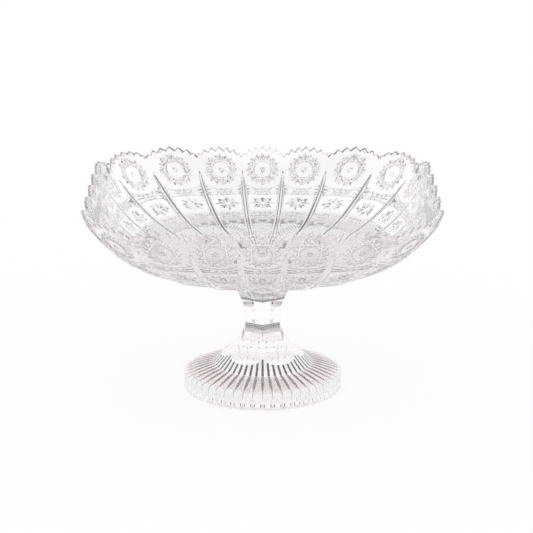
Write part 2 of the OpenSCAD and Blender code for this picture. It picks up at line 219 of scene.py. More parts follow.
@dataclass(frozen=True)
class BowlForm:
    """The bowl's wall: a profile carried round the axis on a plan that goes from a circle to a square.

    A place on the wall is an angle, a length s along the profile from near the axis, and a height h out of
    it.
    """

    rim_half_w: float = 0.137
    rim_z: float = 0.1595
    under_z: float = 0.0877
    under_start_r: float = 0.020
    under_slope: float = math.radians(15.5)
    wall_slope: float = math.radians(71.5)
    shoulder_start_share: float = 0.594
    rim_wall: float = 0.005
    base_wall: float = 0.0095
    square_from_z: float = 0.103
    corner_share: float = 0.48
    square_power: float = 0.8
    panels: int = 24
    table_steps: int = 4000

    @property
    def panel_turn(self) -> float:
        """The angle that one panel covers."""
        return TURN / self.panels

    @property
    def line_len(self) -> float:
        """Length of the straight underside: its run over the cosine of its slope."""
        run = self.rim_half_w * self.shoulder_start_share - self.under_start_r
        return run / math.cos(self.under_slope)

    @property
    def line_end_z(self) -> float:
        """Height at which the straight underside ends."""
        return self.under_z + self.line_len * math.sin(self.under_slope)

    @property
    def shoulder_r(self) -> float:
        """The shoulder's radius that carries the profile to the rim: the run left over by the steep wall,
        over the difference of the sines less that of the cosines times the wall's run."""
        run = 1 / math.tan(self.wall_slope)
        left = self.rim_half_w * (1 - self.shoulder_start_share) - (self.rim_z - self.line_end_z) * run
        sines = math.sin(self.wall_slope) - math.sin(self.under_slope)
        cosines = math.cos(self.under_slope) - math.cos(self.wall_slope)
        return left / (sines - cosines * run)

    def slope(self, s: Array) -> Array:
        """Slope of the profile: constant, then growing with s over the shoulder's radius, then constant."""
        turned = np.maximum(0, s - self.line_len) / self.shoulder_r
        return np.minimum(self.wall_slope, self.under_slope + turned)

    def _past_shoulder(self, s: Array) -> Array:
        """Length s beyond the shoulder's end, or 0."""
        end = self.line_len + self.shoulder_r * (self.wall_slope - self.under_slope)
        return np.maximum(0, s - end)

    def distance(self, s: Array) -> Array:
        """Distance from the axis: the line's run, the radius times the change of sine, and the wall's run.

        Args:
            s: Lengths along the profile.

        Returns:
            One distance for each length.
        """
        line = self.under_start_r + np.minimum(s, self.line_len) * math.cos(self.under_slope)
        arc = self.shoulder_r * (np.sin(self.slope(s)) - math.sin(self.under_slope))
        return line + arc + self._past_shoulder(s) * math.cos(self.wall_slope)

    def height(self, s: Array) -> Array:
        """Height: the line's rise, the radius times the change of cosine, and the wall's rise.

        Args:
            s: Lengths along the profile.

        Returns:
            One height for each length.
        """
        line = self.under_z + np.minimum(s, self.line_len) * math.sin(self.under_slope)
        arc = self.shoulder_r * (math.cos(self.under_slope) - np.cos(self.slope(s)))
        return line + arc + self._past_shoulder(s) * math.sin(self.wall_slope)

    def length_at(self, z: Array | float) -> Array:
        """Length along the profile at a height, read off the rising curve of height over length."""
        s = np.linspace(0, 2 * self.rim_half_w, self.table_steps)
        return np.interp(z, self.height(s), s)

    def square_reach(self, angle: Array) -> Array:
        """Reach of the round-cornered square at an angle, as a share of its half width.

        The angle is folded into 0 to 45 degrees. On a flat side the reach is 1 over its cosine, and on a
        corner it is the far crossing of the ray with the corner's circle.

        Args:
            angle: Angles round the axis.

        Returns:
            One share for each angle.
        """
        quarter = TURN / 4
        folded = np.abs((angle + quarter / 2) % quarter - quarter / 2)
        flat = 1 - self.corner_share
        b = flat * (np.cos(folded) + np.sin(folded))
        corner = b + np.sqrt(np.maximum(0, b * b - 2 * flat**2 + self.corner_share**2))
        return np.where(np.tan(folded) > flat, corner, 1 / np.cos(folded))

    def point(self, angle: Array, s: Array, h: Array | float) -> Array:
        """Places on or off the wall.

        The distance from the axis, moved out by h times the sine of the slope, is spread by a blend of 1
        and the square's reach; the height falls by h times the cosine. The blend is a power of the height's
        share.

        Args:
            angle: Angle round the axis.
            s: Length along the profile.
            h: Height out of the wall, negative into the glass.

        Returns:
            Rows of x, y, z.
        """
        slope, z = self.slope(s), self.height(s)
        blend = unit_fraction(z, self.square_from_z, self.rim_z) ** self.square_power
        d = (self.distance(s) + h * np.sin(slope)) * (1 - blend + blend * self.square_reach(angle))
        return np.stack([d * np.cos(angle), d * np.sin(angle), z - h * np.cos(slope)], -1)

    def panel_width(self, middle: float, s: Array) -> Array:
        """Straight width of a panel, from the points on its two edges.

        Args:
            middle: Angle of the panel's middle.
            s: Lengths along the profile.

        Returns:
            One width for each length.
        """
        half = self.panel_turn / 2
        span = self.point(middle + half, s, 0.0) - self.point(middle - half, s, 0.0)
        return np.linalg.norm(span, axis=-1)

    def wall(self, s: Array) -> Array:
        """Thickness of the glass, from the bottom's to the rim's in a straight line over s."""
        share = np.minimum(1, s / self.length_at(self.rim_z))
        return self.base_wall + (self.rim_wall - self.base_wall) * share


class Drawing:
    """Creases on the unrolled wall and the V-shaped cuts that they bound.

    A cut runs from a to b. Its bed deepens over its first and last stretch, and at each place the depth
    falls in a straight line from the bed to the cut's edges. Where cuts cross, the deepest counts.
    """

    # Shares of the two stretches that together leave no level bed between them
    NO_BED = 0.999
    # A ring's fullness over its middle, so that its bed is level for a hair's breadth
    RING_FULLNESS = 1.02

    def __init__(self) -> None:
        """Starts with an empty sheet."""
        self._points: list[Array] = []
        self._edges: list[Array] = []
        self._cuts: list[Array] = []
        self._rings: list[tuple[Array, float, float, float]] = []
        self._count = 0

    def creases(self, points: Array, edges: Array) -> None:
        """Adds points and the edges between them."""
        self._points.append(points)
        self._edges.append(edges + self._count)
        self._count += len(points)

    def line(self, points: Array, closed: bool = False) -> None:
        """Adds a chain of creases, or a closed one."""
        start = np.arange(len(points) if closed else len(points) - 1)
        self.creases(points, np.stack([start, (start + 1) % len(points)], -1))

    def cuts(self, a: Array, b: Array, half_w: float, depth: float, ends: Span) -> None:
        """Adds cuts of one shape.

        Args:
            a: Starts of the cuts, one row each.
            b: Ends of the cuts.
            half_w: Half of a cut's greatest width.
            depth: Greatest depth.
            ends: Shares of the length over which a cut deepens from its start and from its end.
        """
        along = b - a
        length = np.linalg.norm(along, axis=-1, keepdims=True)
        side = np.stack([-along[:, 1], along[:, 0]], -1) / length * half_w
        near, far = a + along * ends[0], b - along * ends[1]
        stations = [a, b, near, near + side, near - side, far, far + side, far - side]
        edges = np.array([[0, 2], [0, 3], [0, 4], [3, 2], [2, 4], [1, 5], [1, 6], [1, 7], [6, 5], [5, 7]])
        if ends[0] + ends[1] < self.NO_BED:
            edges = np.vstack([edges, [[2, 5], [3, 6], [4, 7]]])
        points = np.stack(stations, 1)
        offsets = np.arange(len(a))[:, None, None] * len(stations)
        self.creases(points.reshape(-1, 2), (edges[None] + offsets).reshape(-1, 2))
        n = np.ones((len(a), 1))
        self._cuts.append(np.hstack([a, b, n * half_w, n * depth, length * ends[0], length * ends[1]]))

    def rays(self, centre: Array, turns: Array, span: Span, half_w: float, depth: float, ends: Span) -> None:
        """Adds one cut on each ray from a centre.

        Args:
            centre: Where the rays start.
            turns: Angles of the rays.
            span: Radii between which each cut runs.
            half_w: Half of a cut's greatest width.
            depth: Greatest depth.
            ends: Shares of the length over which a cut deepens.
        """
        way = unit(turns)
        self.cuts(centre + span[0] * way, centre + span[1] * way, half_w, depth, ends)

    def ring(self, centre: Array, radius: float, half_w: float, depth: float, points: int = 32) -> None:
        """Adds a round cut of one radius.

        Args:
            centre: Its centre.
            radius: Radius of its bed.
            half_w: Half of its width.
            depth: Its depth.
            points: Number of points round it.
        """
        way = unit(turns_of(points))
        for r in (radius - half_w, radius, radius + half_w):
            self.line(centre + r * way, closed=True)
        self._rings.append((centre, radius, half_w, depth))

    def depth(self, at: Array) -> Array:
        """Depth of the deepest cut.

        Args:
            at: Places on the sheet.

        Returns:
            0 or a negative height for each place.
        """
        deepest = self._straight_depth(at)
        for centre, radius, half_w, depth in self._rings:
            aside = np.abs(np.linalg.norm(at - centre, axis=-1) - radius)
            deepest = np.minimum(deepest, -depth * np.clip(self.RING_FULLNESS - aside / half_w, 0, 1))
        return deepest

    def _straight_depth(self, at: Array) -> Array:
        """Depth of the deepest straight cut.

        The fullness at a place along a cut grows evenly over its first stretch and fades over its last. The
        depth is the cut's own times the fullness less the distance aside over the half width.

        Args:
            at: Places on the sheet.

        Returns:
            0 or a negative height for each place.
        """
        cut = np.vstack(self._cuts)
        a, b = cut[:, 0:2], cut[:, 2:4]
        half_w, depth, grow, fade = cut[:, 4:8].T
        length = np.linalg.norm(b - a, axis=-1)
        unit = (b - a) / length[:, None]
        rel = at[:, None] - a[None]
        along = (rel * unit).sum(-1)
        aside = np.abs(rel[..., 0] * unit[:, 1] - rel[..., 1] * unit[:, 0])
        fullness = np.minimum(np.minimum(along / grow, (length - along) / fade), 1)
        return -(depth * np.clip(fullness - aside / half_w, 0, None)).max(1)

    def triangles(self, outline: Array) -> tuple[Array, Array]:
        """Cuts the sheet inside an outline into triangles that follow every crease.

        A triangle is kept if a line from its middle to the right crosses the outline an odd number of times.

        Args:
            outline: Corners of the outline, counter-clockwise.

        Returns:
            Points, and rows of three indices into them.
        """
        self.line(outline, closed=True)
        points, edges = np.vstack(self._points), np.vstack(self._edges)
        made = delaunay_2d_cdt(points.tolist(), edges.tolist(), [], 0, CREASE_MERGE, False)
        at, faces = np.array([list(v) for v in made[0]]), np.array(made[2])
        x, y = at[faces].mean(1).T[..., None]
        x0, y0 = outline.T
        x1, y1 = np.roll(outline, -1, 0).T
        level = (y0 > y) != (y1 > y)
        crossing = x0 + (y - y0) * (x1 - x0) / np.where(y1 == y0, 1, y1 - y0)
        inside = (level & (crossing > x)).sum(1) % 2 == 1
        return at, faces[inside]


@dataclass(frozen=True)
class StarCut:
    """A round star of many points, cut round a clear disc, with straight cuts that touch the disc."""

    radius: float = 0.0146
    points: int = 16
    petal_from: float = 0.0084
    petal_half_w: float = 0.0016
    petal_depth: float = 0.0013
    petal_deepest: float = 0.55
    small_from: float = 0.0098
    small_to: float = 0.0134
    small_half_w: float = 0.0006
    small_depth: float = 0.0007
    chords: int = 8
    chord_r: float = 0.0086
    chord_reach: float = 0.0142
    chord_half_w: float = 0.0007
    chord_depth: float = 0.0015
    chord_ends: Span = (0.12, 0.12)
    ring_r: float = 0.0073
    ring_half_w: float = 0.0004
    ring_depth: float = 0.0005
    bud_petals: int = 8
    bud_from: float = 0.0004
    bud_to: float = 0.0031
    bud_half_w: float = 0.0006
    bud_depth: float = 0.00045

    def draw(self, sheet: Drawing, centre: Array) -> None:
        """Draws the star: petals and small petals on rays, chords beside the disc, and a bud in its middle.

        A chord runs both ways from its point nearest the centre, to where its reach from the centre ends.

        Args:
            sheet: The panel's drawing.
            centre: The star's centre on it.
        """
        ends = (self.petal_deepest, 1 - self.petal_deepest)
        turns = turns_of(self.points)
        between = turns + TURN / self.points / 2
        sheet.rays(centre, turns, (self.petal_from, self.radius), self.petal_half_w, self.petal_depth, ends)
        small = (self.small_from, self.small_to)
        sheet.rays(centre, between, small, self.small_half_w, self.small_depth, ends)
        turns = turns_of(self.chords)
        half = math.sqrt(self.chord_reach**2 - self.chord_r**2)
        foot = centre + self.chord_r * unit(turns)
        way = half * np.stack([-np.sin(turns), np.cos(turns)], -1)
        sheet.cuts(foot - way, foot + way, self.chord_half_w, self.chord_depth, self.chord_ends)
        sheet.ring(centre, self.ring_r, self.ring_half_w, self.ring_depth)
        bud = (self.bud_from, self.bud_to)
        sheet.rays(centre, turns_of(self.bud_petals), bud, self.bud_half_w, self.bud_depth, ends)


@dataclass(frozen=True)
class BarrelStar:
    """A long star of eight kite-shaped petals in the middle row of cells."""

    half_w: float = 0.0112
    half_h: float = 0.0076
    petals: int = 8
    start_share: float = 0.10
    petal_half_w: float = 0.0021
    petal_depth: float = 0.0010
    petal_ends: Span = (0.6, 0.4)
    small_share: float = 0.70
    small_half_w: float = 0.0009
    small_depth: float = 0.0006

    def draw(self, sheet: Drawing, centre: Array) -> None:
        """Draws the petals on the rays of an ellipse, and shorter ones between them.

        Args:
            sheet: The panel's drawing.
            centre: The star's centre on it.
        """
        for half_turn, reach, half_w, depth in (
                (0.0, 1.0, self.petal_half_w, self.petal_depth),
                (0.5, self.small_share, self.small_half_w, self.small_depth)):
            turns = (np.arange(self.petals) + half_turn) * TURN / self.petals
            way = np.array([self.half_w, self.half_h]) * unit(turns)
            sheet.cuts(centre + self.start_share * way, centre + reach * way, half_w, depth, self.petal_ends)


@dataclass(frozen=True)
class OvalRosette:
    """A clear oval in a ring of short rays, in the lowest row of cells."""

    half_w: float = 0.0078
    half_h: float = 0.0039
    clear_share: float = 0.42
    rays: int = 16
    ray_half_w: float = 0.0008
    ray_depth: float = 0.0006
    ray_ends: Span = (0.5, 0.5)

    def draw(self, sheet: Drawing, centre: Array) -> None:
        """Draws one cut on each ray, from the clear oval's edge to the rosette's.

        Args:
            sheet: The panel's drawing.
            centre: The rosette's centre on it.
        """
        way = np.array([self.half_w, self.half_h]) * unit(turns_of(self.rays))
        sheet.cuts(centre + self.clear_share * way, centre + way, self.ray_half_w, self.ray_depth,
                   self.ray_ends)


@dataclass(frozen=True)
class Rib:
    """A smooth raised rib between two panels, with a groove along each side."""

    width: float = 0.0054
    panel_share: float = 0.42
    crest_h: float = 0.0009
    full_share: float = 0.45
    shares: tuple[float, ...] = (0.0, 0.3, 0.55, 0.78, 0.92, 1.08)
    heights: tuple[float, ...] = (1.0, 0.92, 0.72, 0.35, -0.5, 0.0)
    edge_slack: float = 0.02

    def profile(self, share: Array) -> Array:
        """Height over the wall at a share of the half width, as a share of the crest's height."""
        return np.interp(share, self.shares, self.heights)


@dataclass(frozen=True)
class Band:
    """A raised band across a panel, between two lines that bow towards the ribs."""

    low_z: float
    top_z: float
    low_bow: float
    top_bow: float
    valleys: int
    height: float = 0.0005
    edge: float = 0.0006
    valley_depth: float = 0.0005
    valley_slack: float = 1e-3
    line_points: int = 17
    crosses: int = 0
    cross_w: float = 0.0052
    cross_half_w: float = 0.0006
    cross_depth: float = 0.0010
    cross_ends: Span = (0.15, 0.15)
    cross_over: float = 0.3

    def draw_crosses(self, sheet: Drawing, low: float, top: float) -> None:
        """Draws crossed cuts side by side in the middle of the band.

        Args:
            sheet: The panel's drawing.
            low: Length s of the band's lower line in the middle.
            top: Length s of its upper line.
        """
        left = (np.arange(self.crosses) - self.crosses / 2) * self.cross_w
        right = left + self.cross_w
        lows = np.full(self.crosses, low - self.cross_over * self.edge)
        tops = np.full(self.crosses, top + self.cross_over * self.edge)
        for a, b in ((left, right), (right, left)):
            sheet.cuts(np.stack([a, lows], -1), np.stack([b, tops], -1), self.cross_half_w,
                       self.cross_depth, self.cross_ends)

    def relief(self, s: Array, low: Array, top: Array) -> Array:
        """Height of the band: raised between its lines, with V-shaped valleys.

        Args:
            s: Lengths along the profile.
            low: Length s of the band's lower line at each place.
            top: Length s of its upper line.

        Returns:
            One height for each place.
        """
        lift = np.clip(np.minimum(s - low + self.edge, top + self.edge - s) / self.edge, 0, 1)
        wave = (s - low) / (top - low) * self.valleys
        furrow = 1 - 2 * np.abs(wave - np.floor(wave) - 0.5)
        within = (wave > self.valley_slack) & (wave < self.valleys - self.valley_slack)
        return self.height * lift - np.where(within, self.valley_depth * (1 - furrow), 0)


class Wiring:
    """Adds nodes to a node tree and feeds their inputs."""

    def __init__(self, tree: bpy.types.NodeTree) -> None:
        """Starts on an emptied tree."""
        tree.nodes.clear()
        self.tree = tree

    def add(self, kind: str, feeds: Feeds | None = None, **settings: object) -> bpy.types.Node:
        """Adds a node.

        Args:
            kind: Type of the node.
            feeds: A socket, a colour or a number for each input, by its name or its place.
            settings: The node's own properties.

        Returns:
            The node.
        """
        node = self.tree.nodes.new(kind)
        for name, value in settings.items():
            setattr(node, name, value)
        for key, value in (feeds or {}).items():
            if isinstance(value, Socket):
                self.tree.links.new(value, node.inputs[key])
            else:
                node.inputs[key].default_value = (*value, 1) if isinstance(value, tuple) else value
        return node

    def math(self, operation: str, *values: Socket | float) -> Socket:
        """Result of a Math node on sockets or numbers."""
        return self.add("ShaderNodeMath", dict(enumerate(values)), operation=operation).outputs[0]

    def ramp(self, value: Socket, span: Span) -> Socket:
        """Smooth step of a value, 0 at the span's first end and 1 at its second."""
        feeds = {"Value": value, "From Min": span[0], "From Max": span[1]}
        return self.add("ShaderNodeMapRange", feeds, interpolation_type="SMOOTHSTEP").outputs["Result"]

    def mix(self, share: Socket, a: Socket | Colour, b: Socket | Colour) -> Socket:
        """Colour that goes from a to b with a share, which is held between 0 and 1."""
        feeds = {"Factor": share, "A": a, "B": b}
        return self.add("ShaderNodeMix", feeds, data_type="RGBA").outputs["Result"]

    def shaders(self, share: Socket | float, a: Socket, b: Socket) -> Socket:
        """Shader that goes from a to b with a share."""
        return self.add("ShaderNodeMixShader", {0: share, 1: a, 2: b}).outputs[0]


def polish_group() -> bpy.types.NodeTree:
    """The shared node group of a polished glass surface.

    Front is 1 where an outer face is met from outside: the depth mark's way from the inner mark to 0, less
    Backfacing. Plain, rose and cut each go from their inside to their outside colour with front. The colour
    goes from plain to rose with the rosiness and on to cut, the painted shade of cuts and grooves, with the
    depth, and a cut's shallow edge takes the line colour, a line of painted shade, where it is met from
    outside. The surface is matt below a height, and a slow noise makes the ripple that fire polishing
    leaves.

    Returns:
        The group, made on the first call and shared after it.
    """
    name = "polished_crystal"
    if name in bpy.data.node_groups:
        return bpy.data.node_groups[name]
    group = bpy.data.node_groups.new(name, "ShaderNodeTree")
    tones = [f"{tone} {side}" for tone in ("Plain", "Rose", "Cut") for side in ("Inside", "Outside")]
    for way, kind, labels in (
            ("INPUT", "NodeSocketVector", ["Place"]),
            ("INPUT", "NodeSocketColor", [*tones, "Line"]),
            ("INPUT", "NodeSocketFloat",
             ["Depth", "Rosiness", "Backfacing", "Matt Below", "Matt", "Ripple Scale"]),
            ("OUTPUT", "NodeSocketColor", ["Colour"]),
            ("OUTPUT", "NodeSocketFloat", ["Roughness", "Ripple"])):
        for label in labels:
            group.interface.new_socket(label, in_out=way, socket_type=kind)
    wiring = Wiring(group)
    given = wiring.add("NodeGroupInput").outputs
    depth, place = given["Depth"], given["Place"]
    outer = wiring.add("ShaderNodeMapRange", {"Value": depth, "From Min": INNER_MARK, "From Max": 0.0})
    front = wiring.add("ShaderNodeMath", {0: outer.outputs["Result"], 1: given["Backfacing"]},
                       operation="SUBTRACT", use_clamp=True).outputs[0]
    plain, rose, cut = (wiring.mix(front, given[f"{tone} Inside"], given[f"{tone} Outside"])
                        for tone in ("Plain", "Rose", "Cut"))
    colour = wiring.mix(depth, wiring.mix(given["Rosiness"], plain, rose), cut)
    on_edge = wiring.math("MULTIPLY", wiring.math("COMPARE", depth, EDGE_MARK, EDGE_REACH), front)
    height = wiring.add("ShaderNodeSeparateXYZ", {0: place}).outputs["Z"]
    low = wiring.math("LESS_THAN", height, given["Matt Below"])
    noise = wiring.add("ShaderNodeTexNoise", {
        "Vector": place, "Scale": given["Ripple Scale"], "Detail": 1.0})
    wiring.add("NodeGroupOutput", {
        "Colour": wiring.mix(on_edge, colour, given["Line"]),
        "Roughness": wiring.math("MULTIPLY", low, given["Matt"]),
        "Ripple": noise.outputs["Fac"]})
    return group


class Tint(Enum):
    """Colours of the plain glass seen from within: what white light becomes at two of its faces."""

    CLEAR = (0.995, 0.99, 0.99)
    ROSY = (0.995, 0.985, 0.985)
    GLUE = (0.98, 0.97, 0.95)


@dataclass(frozen=True)
class Tone:
    """A colour of a glass face: as it is met from outside the glass, and from inside it."""

    outside: Colour = WHITE
    inside: Colour = WHITE


@dataclass(frozen=True)
class Crystal:
    """A clear glass finish, polished with a faint ripple, with painted shade in its cuts and a tone in its
    rosy places.

    Plain is the glass's own colour met from inside, and outside the one met from outside. Line is the colour
    of the painted shade on a cut's shallow edge.
    """

    name: str
    plain: Tint
    outside: Colour = (0.985, 0.975, 0.975)
    line: Colour = (0.985, 0.975, 0.975)
    rose: Tone = Tone()
    cut: Tone = Tone()
    ripple: float = 0.0
    ripple_scale: float = 50.0
    matt_below: float = -1.0
    matt: float = 0.0
    ior: float = 1.52

    def material(self) -> bpy.types.Material:
        """Builds the node material.

        Returns:
            The material: Principled glass whose colour follows the rose and cut marks.
        """
        made = bpy.data.materials.new(self.name)
        made.use_nodes = True
        wiring = Wiring(made.node_tree)
        feeds: Feeds = {
            "Place": wiring.add("ShaderNodeTexCoord").outputs["Object"],
            "Depth": wiring.add("ShaderNodeAttribute", attribute_name="cut").outputs["Fac"],
            "Rosiness": wiring.add("ShaderNodeAttribute", attribute_name="rose").outputs["Fac"],
            "Backfacing": wiring.add("ShaderNodeNewGeometry").outputs["Backfacing"],
            "Plain Inside": self.plain.value, "Plain Outside": self.outside, "Line": self.line,
            "Rose Inside": self.rose.inside, "Rose Outside": self.rose.outside,
            "Cut Inside": self.cut.inside, "Cut Outside": self.cut.outside,
            "Matt Below": self.matt_below, "Matt": self.matt, "Ripple Scale": self.ripple_scale}
        polish = wiring.add("ShaderNodeGroup", feeds, node_tree=polish_group()).outputs
        bump = wiring.add("ShaderNodeBump", {"Strength": self.ripple, "Distance": RIPPLE_H,
                                             "Height": polish["Ripple"]})
        glass = wiring.add("ShaderNodeBsdfPrincipled", {
            "Base Color": polish["Colour"], "Roughness": polish["Roughness"],
            "Normal": bump.outputs["Normal"], "Transmission Weight": 1.0, "IOR": self.ior})
        wiring.add("ShaderNodeOutputMaterial", {"Surface": glass.outputs["BSDF"]})
        return made


def dress(thing: bpy.types.Object, finish: bpy.types.Material, node: str) -> None:
    """Gives a piece its finish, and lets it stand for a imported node.

    Args:
        thing: The piece.
        finish: Its material.
        node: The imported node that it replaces.
    """
    thing.data.materials.append(finish)
    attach(thing, "root")
    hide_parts(node)
    LOG.info("%s: %d faces", thing.name, len(thing.data.polygons))


@dataclass
class CutBowl:
    """The bowl: 24 cut panels outside, a smooth wall inside and a saw-toothed rim between them."""

    form: BowlForm = field(default_factory=BowlForm)
    star: StarCut = field(default_factory=StarCut)
    barrel: BarrelStar = field(default_factory=BarrelStar)
    oval: OvalRosette = field(default_factory=OvalRosette)
    rib: Rib = field(default_factory=Rib)
    upper_band: Band = Band(0.1296, 0.1342, -0.0006, 0.0045, 3, crosses=3)
    lower_band: Band = Band(0.1139, 0.1168, -0.0006, 0.0006, 2, crosses=4, cross_w=0.0042)
    star_z: float = 0.1487
    oval_low_z: float = 0.1090
    arch_rise: float = 0.0051
    tooth_h: float = 0.0034
    tooth_places: tuple[float, ...] = (0, 0.17, 0.34, 0.48, 0.655, 0.77, 0.885, 1)
    tooth_heights: tuple[float, ...] = (1, 0, 0.98, 0, 0.94, 0, 0.59, 0)
    seat_z: float = 0.0874
    pad_r: float = 0.0263
    pad_edge: float = 0.0008
    diamond_s: float = 0.0042
    diamonds_across: int = 3
    diamond_depth: float = 0.0007
    side_steps: int = 40
    clear_step: float = 0.0032
    clear_margin: float = 0.0012
    clear_columns: int = 8
    clear_over_rim: float = 0.004
    inner_columns: int = 8
    inner_wall_rows: int = 16
    inner_floor_rows: int = 6
    # The rim's rosy line of painted shade: its width below the teeth, the share of that in full colour, the
    # shares across the rim's top face where it is full and gone, and its strength there
    rim_line: float = 0.0014
    rim_full: float = 0.8
    top_full: float = 0.3
    top_gone: float = 0.35
    top_rose_shade: float = 0.6
    # The cut mark, painted shade in the cuts: the depth with a full mark, and the gain at the foot of the
    # wall
    full_shade_depth: float = 0.0008
    low_shade_gain: float = 4.5
    # Rosy painted shade low on the wall: its strength, and the heights where it starts and is full
    low_rose_shade: float = 0.55
    tone_start_z: float = 0.1195
    tone_full_z: float = 0.1150

    def __post_init__(self) -> None:
        """Works out the lengths along the profile that the drawing needs."""
        at = self.form.length_at
        self.star_s, self.rim_s = float(at(self.star_z)), float(at(self.form.rim_z))
        self.oval_low_s, self.taper_s = float(at(self.oval_low_z)), float(at(self.upper_band.low_z))
        self.tone_start_s, self.tone_full_s = float(at(self.tone_start_z)), float(at(self.tone_full_z))
        run = self.pad_r + self.pad_edge - self.form.under_start_r
        self.pad_s = run / math.cos(self.form.under_slope)

    def teeth(self) -> tuple[Array, Array]:
        """Peaks and valleys of the rim.

        The valleys follow an arch, rim height plus the rise times 1 less the place squared, and a peak adds
        its share of the tooth height.

        Returns:
            Their places across a panel, from -1 to 1, and their lengths s.
        """
        half = np.array(self.tooth_places)
        u = np.concatenate([-half[:0:-1], half])
        share = np.array(self.tooth_heights)
        share = np.concatenate([share[:0:-1], share])
        z = self.form.rim_z + self.arch_rise * (1 - u * u) + self.tooth_h * share
        return u, self.form.length_at(z)

    def rib_half(self, width: Array, s: Array) -> Array:
        """Half width of a rib: its own or a share of the panel's, times the root of its taper."""
        taper = np.clip((self.star_s - s) / (self.star_s - self.taper_s), 0, 1)
        return np.minimum(self.rib.width, self.rib.panel_share * width) * np.sqrt(taper) / 2

    def side_lengths(self) -> Array:
        """Lengths s of the points along a panel's edges, which neighbours share."""
        rim = [self.rim_s - self.rim_line, self.rim_s - self.rim_full * self.rim_line, self.rim_s]
        return np.concatenate([np.linspace(self.pad_s, self.star_s, self.side_steps), rim])

    def band_lines(self, band: Band, u: Array) -> tuple[Array, Array]:
        """Lengths s of a band's lower and upper line at places u: each bows with the square of u."""
        low = self.form.length_at(band.low_z) + band.low_bow * u * u
        top = self.form.length_at(band.top_z) + band.top_bow * u * u
        return low, top

    def relief(self, sheet: Drawing, at: Array, width: Array) -> Array:
        """Height of the outer surface over the wall.

        Ribs and bands stand out of it. The bands are furrowed, the field below the ovals is covered with
        pyramids, and the deepest of the stars' cuts is taken away.

        Args:
            sheet: The panel's drawing, which holds its cuts.
            at: Places, as x across the panel and length s.
            width: Width of the panel at each place.

        Returns:
            One height for each place.
        """
        x, s = at.T
        half = self.rib_half(width, s)
        from_edge = np.maximum(width / 2 - np.abs(x), 0)
        no_rib = 2 * self.rib.shares[-1]
        rib_share = np.where(half > NEARLY, from_edge / np.maximum(half, NEARLY), no_rib)
        full = np.clip(half * 2 / self.rib.width / self.rib.full_share, 0, 1)
        rib = self.rib.crest_h * self.rib.profile(rib_share) * full
        inside = rib_share >= self.rib.shares[-1] - self.rib.edge_slack
        raised = np.zeros_like(x)
        for band in (self.upper_band, self.lower_band):
            raised += band.relief(s, *self.band_lines(band, 2 * x / width))
        p, q = self.diamond_places(x, s, width)
        fall = np.minimum(np.abs(p - np.round(p)), np.abs(q - np.round(q)))
        diamond = -self.diamond_depth * (1 - 2 * fall)
        below = (s < self.diamond_top_s() + NEARLY) & (s > self.pad_s + CREASE_MERGE)
        field_h = raised + np.where(below, diamond, 0) + sheet.depth(at)
        return np.where(inside, field_h, rib)

    def diamond_rows(self) -> int:
        """Number of rows of diamonds between the stem and the ovals."""
        return int((self.oval_low_s - self.pad_s) / self.diamond_s)

    def diamond_top_s(self) -> float:
        """Length s at the top of the diamonds."""
        return self.pad_s + self.diamond_rows() * self.diamond_s

    def field_half(self, width: Array, s: Array) -> Array:
        """Half width of the field between two ribs' grooves."""
        return width / 2 - self.rib.shares[-1] * self.rib_half(width, s)

    def diamond_places(self, x: Array, s: Array, width: Array) -> tuple[Array, Array]:
        """Counts of the two families of slanting lines: rows along s, plus and less columns across."""
        row = (s - self.pad_s) / self.diamond_s
        column = x / self.field_half(width, s) * self.diamonds_across
        return row + column, row - column

    def draw_panel(self, middle: float) -> tuple[Array, Array, Array]:
        """Draws one panel flat and cuts it into triangles.

        Args:
            middle: Angle of the panel's middle.

        Returns:
            Places as x and s, triangles, and the height at each place.
        """
        form, sheet = self.form, Drawing()

        def width(s: Array) -> Array:
            """Width of this panel at a length s."""
            return form.panel_width(middle, s)

        side_s = self.side_lengths()
        rib_s = side_s[side_s < self.star_s - NEARLY]
        for share in self.rib.shares[1:]:
            offset = width(rib_s) / 2 - share * self.rib_half(width(rib_s), rib_s)
            for hand in (-1, 1):
                sheet.line(np.vstack([np.stack([hand * offset, rib_s], -1),
                                      [[hand * width(np.array([self.star_s]))[0] / 2, self.star_s]]]))
        self._draw_bands(sheet, width)
        self._draw_diamonds(sheet, width)
        u, tooth_s = self.teeth()
        for share in (self.rim_full, 1.0):
            line_s = tooth_s - share * self.rim_line
            sheet.line(np.stack([u * width(line_s) / 2, line_s], -1))
        self.star.draw(sheet, np.array([0.0, self.star_s]))
        barrel_s = (form.length_at(self.upper_band.low_z) + form.length_at(self.lower_band.top_z)) / 2
        self.barrel.draw(sheet, np.array([0.0, barrel_s]))
        oval_s = (form.length_at(self.lower_band.low_z) + self.diamond_top_s()) / 2
        self.oval.draw(sheet, np.array([0.0, oval_s]))
        sheet.creases(self._clear_points(width, barrel_s, oval_s), np.zeros((0, 2), int))
        at, faces = sheet.triangles(self._outline(width))
        return at, faces, self.relief(sheet, at, width(at[:, 1]))

    def _outline(self, width: Width) -> Array:
        """Outline of a panel: across the bottom, up the right edge, along the teeth and down the left edge.

        Args:
            width: The panel's width at lengths s.

        Returns:
            Corners as x and s, counter-clockwise.
        """
        side_s = self.side_lengths()
        u, tooth_s = self.teeth()
        bottom_w = width(np.array([self.pad_s]))[0]
        half = self.rib_half(np.array([bottom_w]), np.array([self.pad_s]))[0]
        inner = bottom_w / 2 - np.array(self.rib.shares[1:]) * half
        across = np.linspace(-1, 1, 2 * self.diamonds_across + 1)[1:-1] * inner[-1]
        bottom = np.concatenate([-inner, across, inner[::-1]])
        edge = width(side_s) / 2
        top = np.stack([u * width(tooth_s) / 2, tooth_s], -1)
        return np.vstack([
            np.stack([bottom, np.full_like(bottom, self.pad_s)], -1),
            np.stack([edge, side_s], -1)[:-1],
            top[::-1],
            np.stack([-edge, side_s], -1)[-2::-1]])

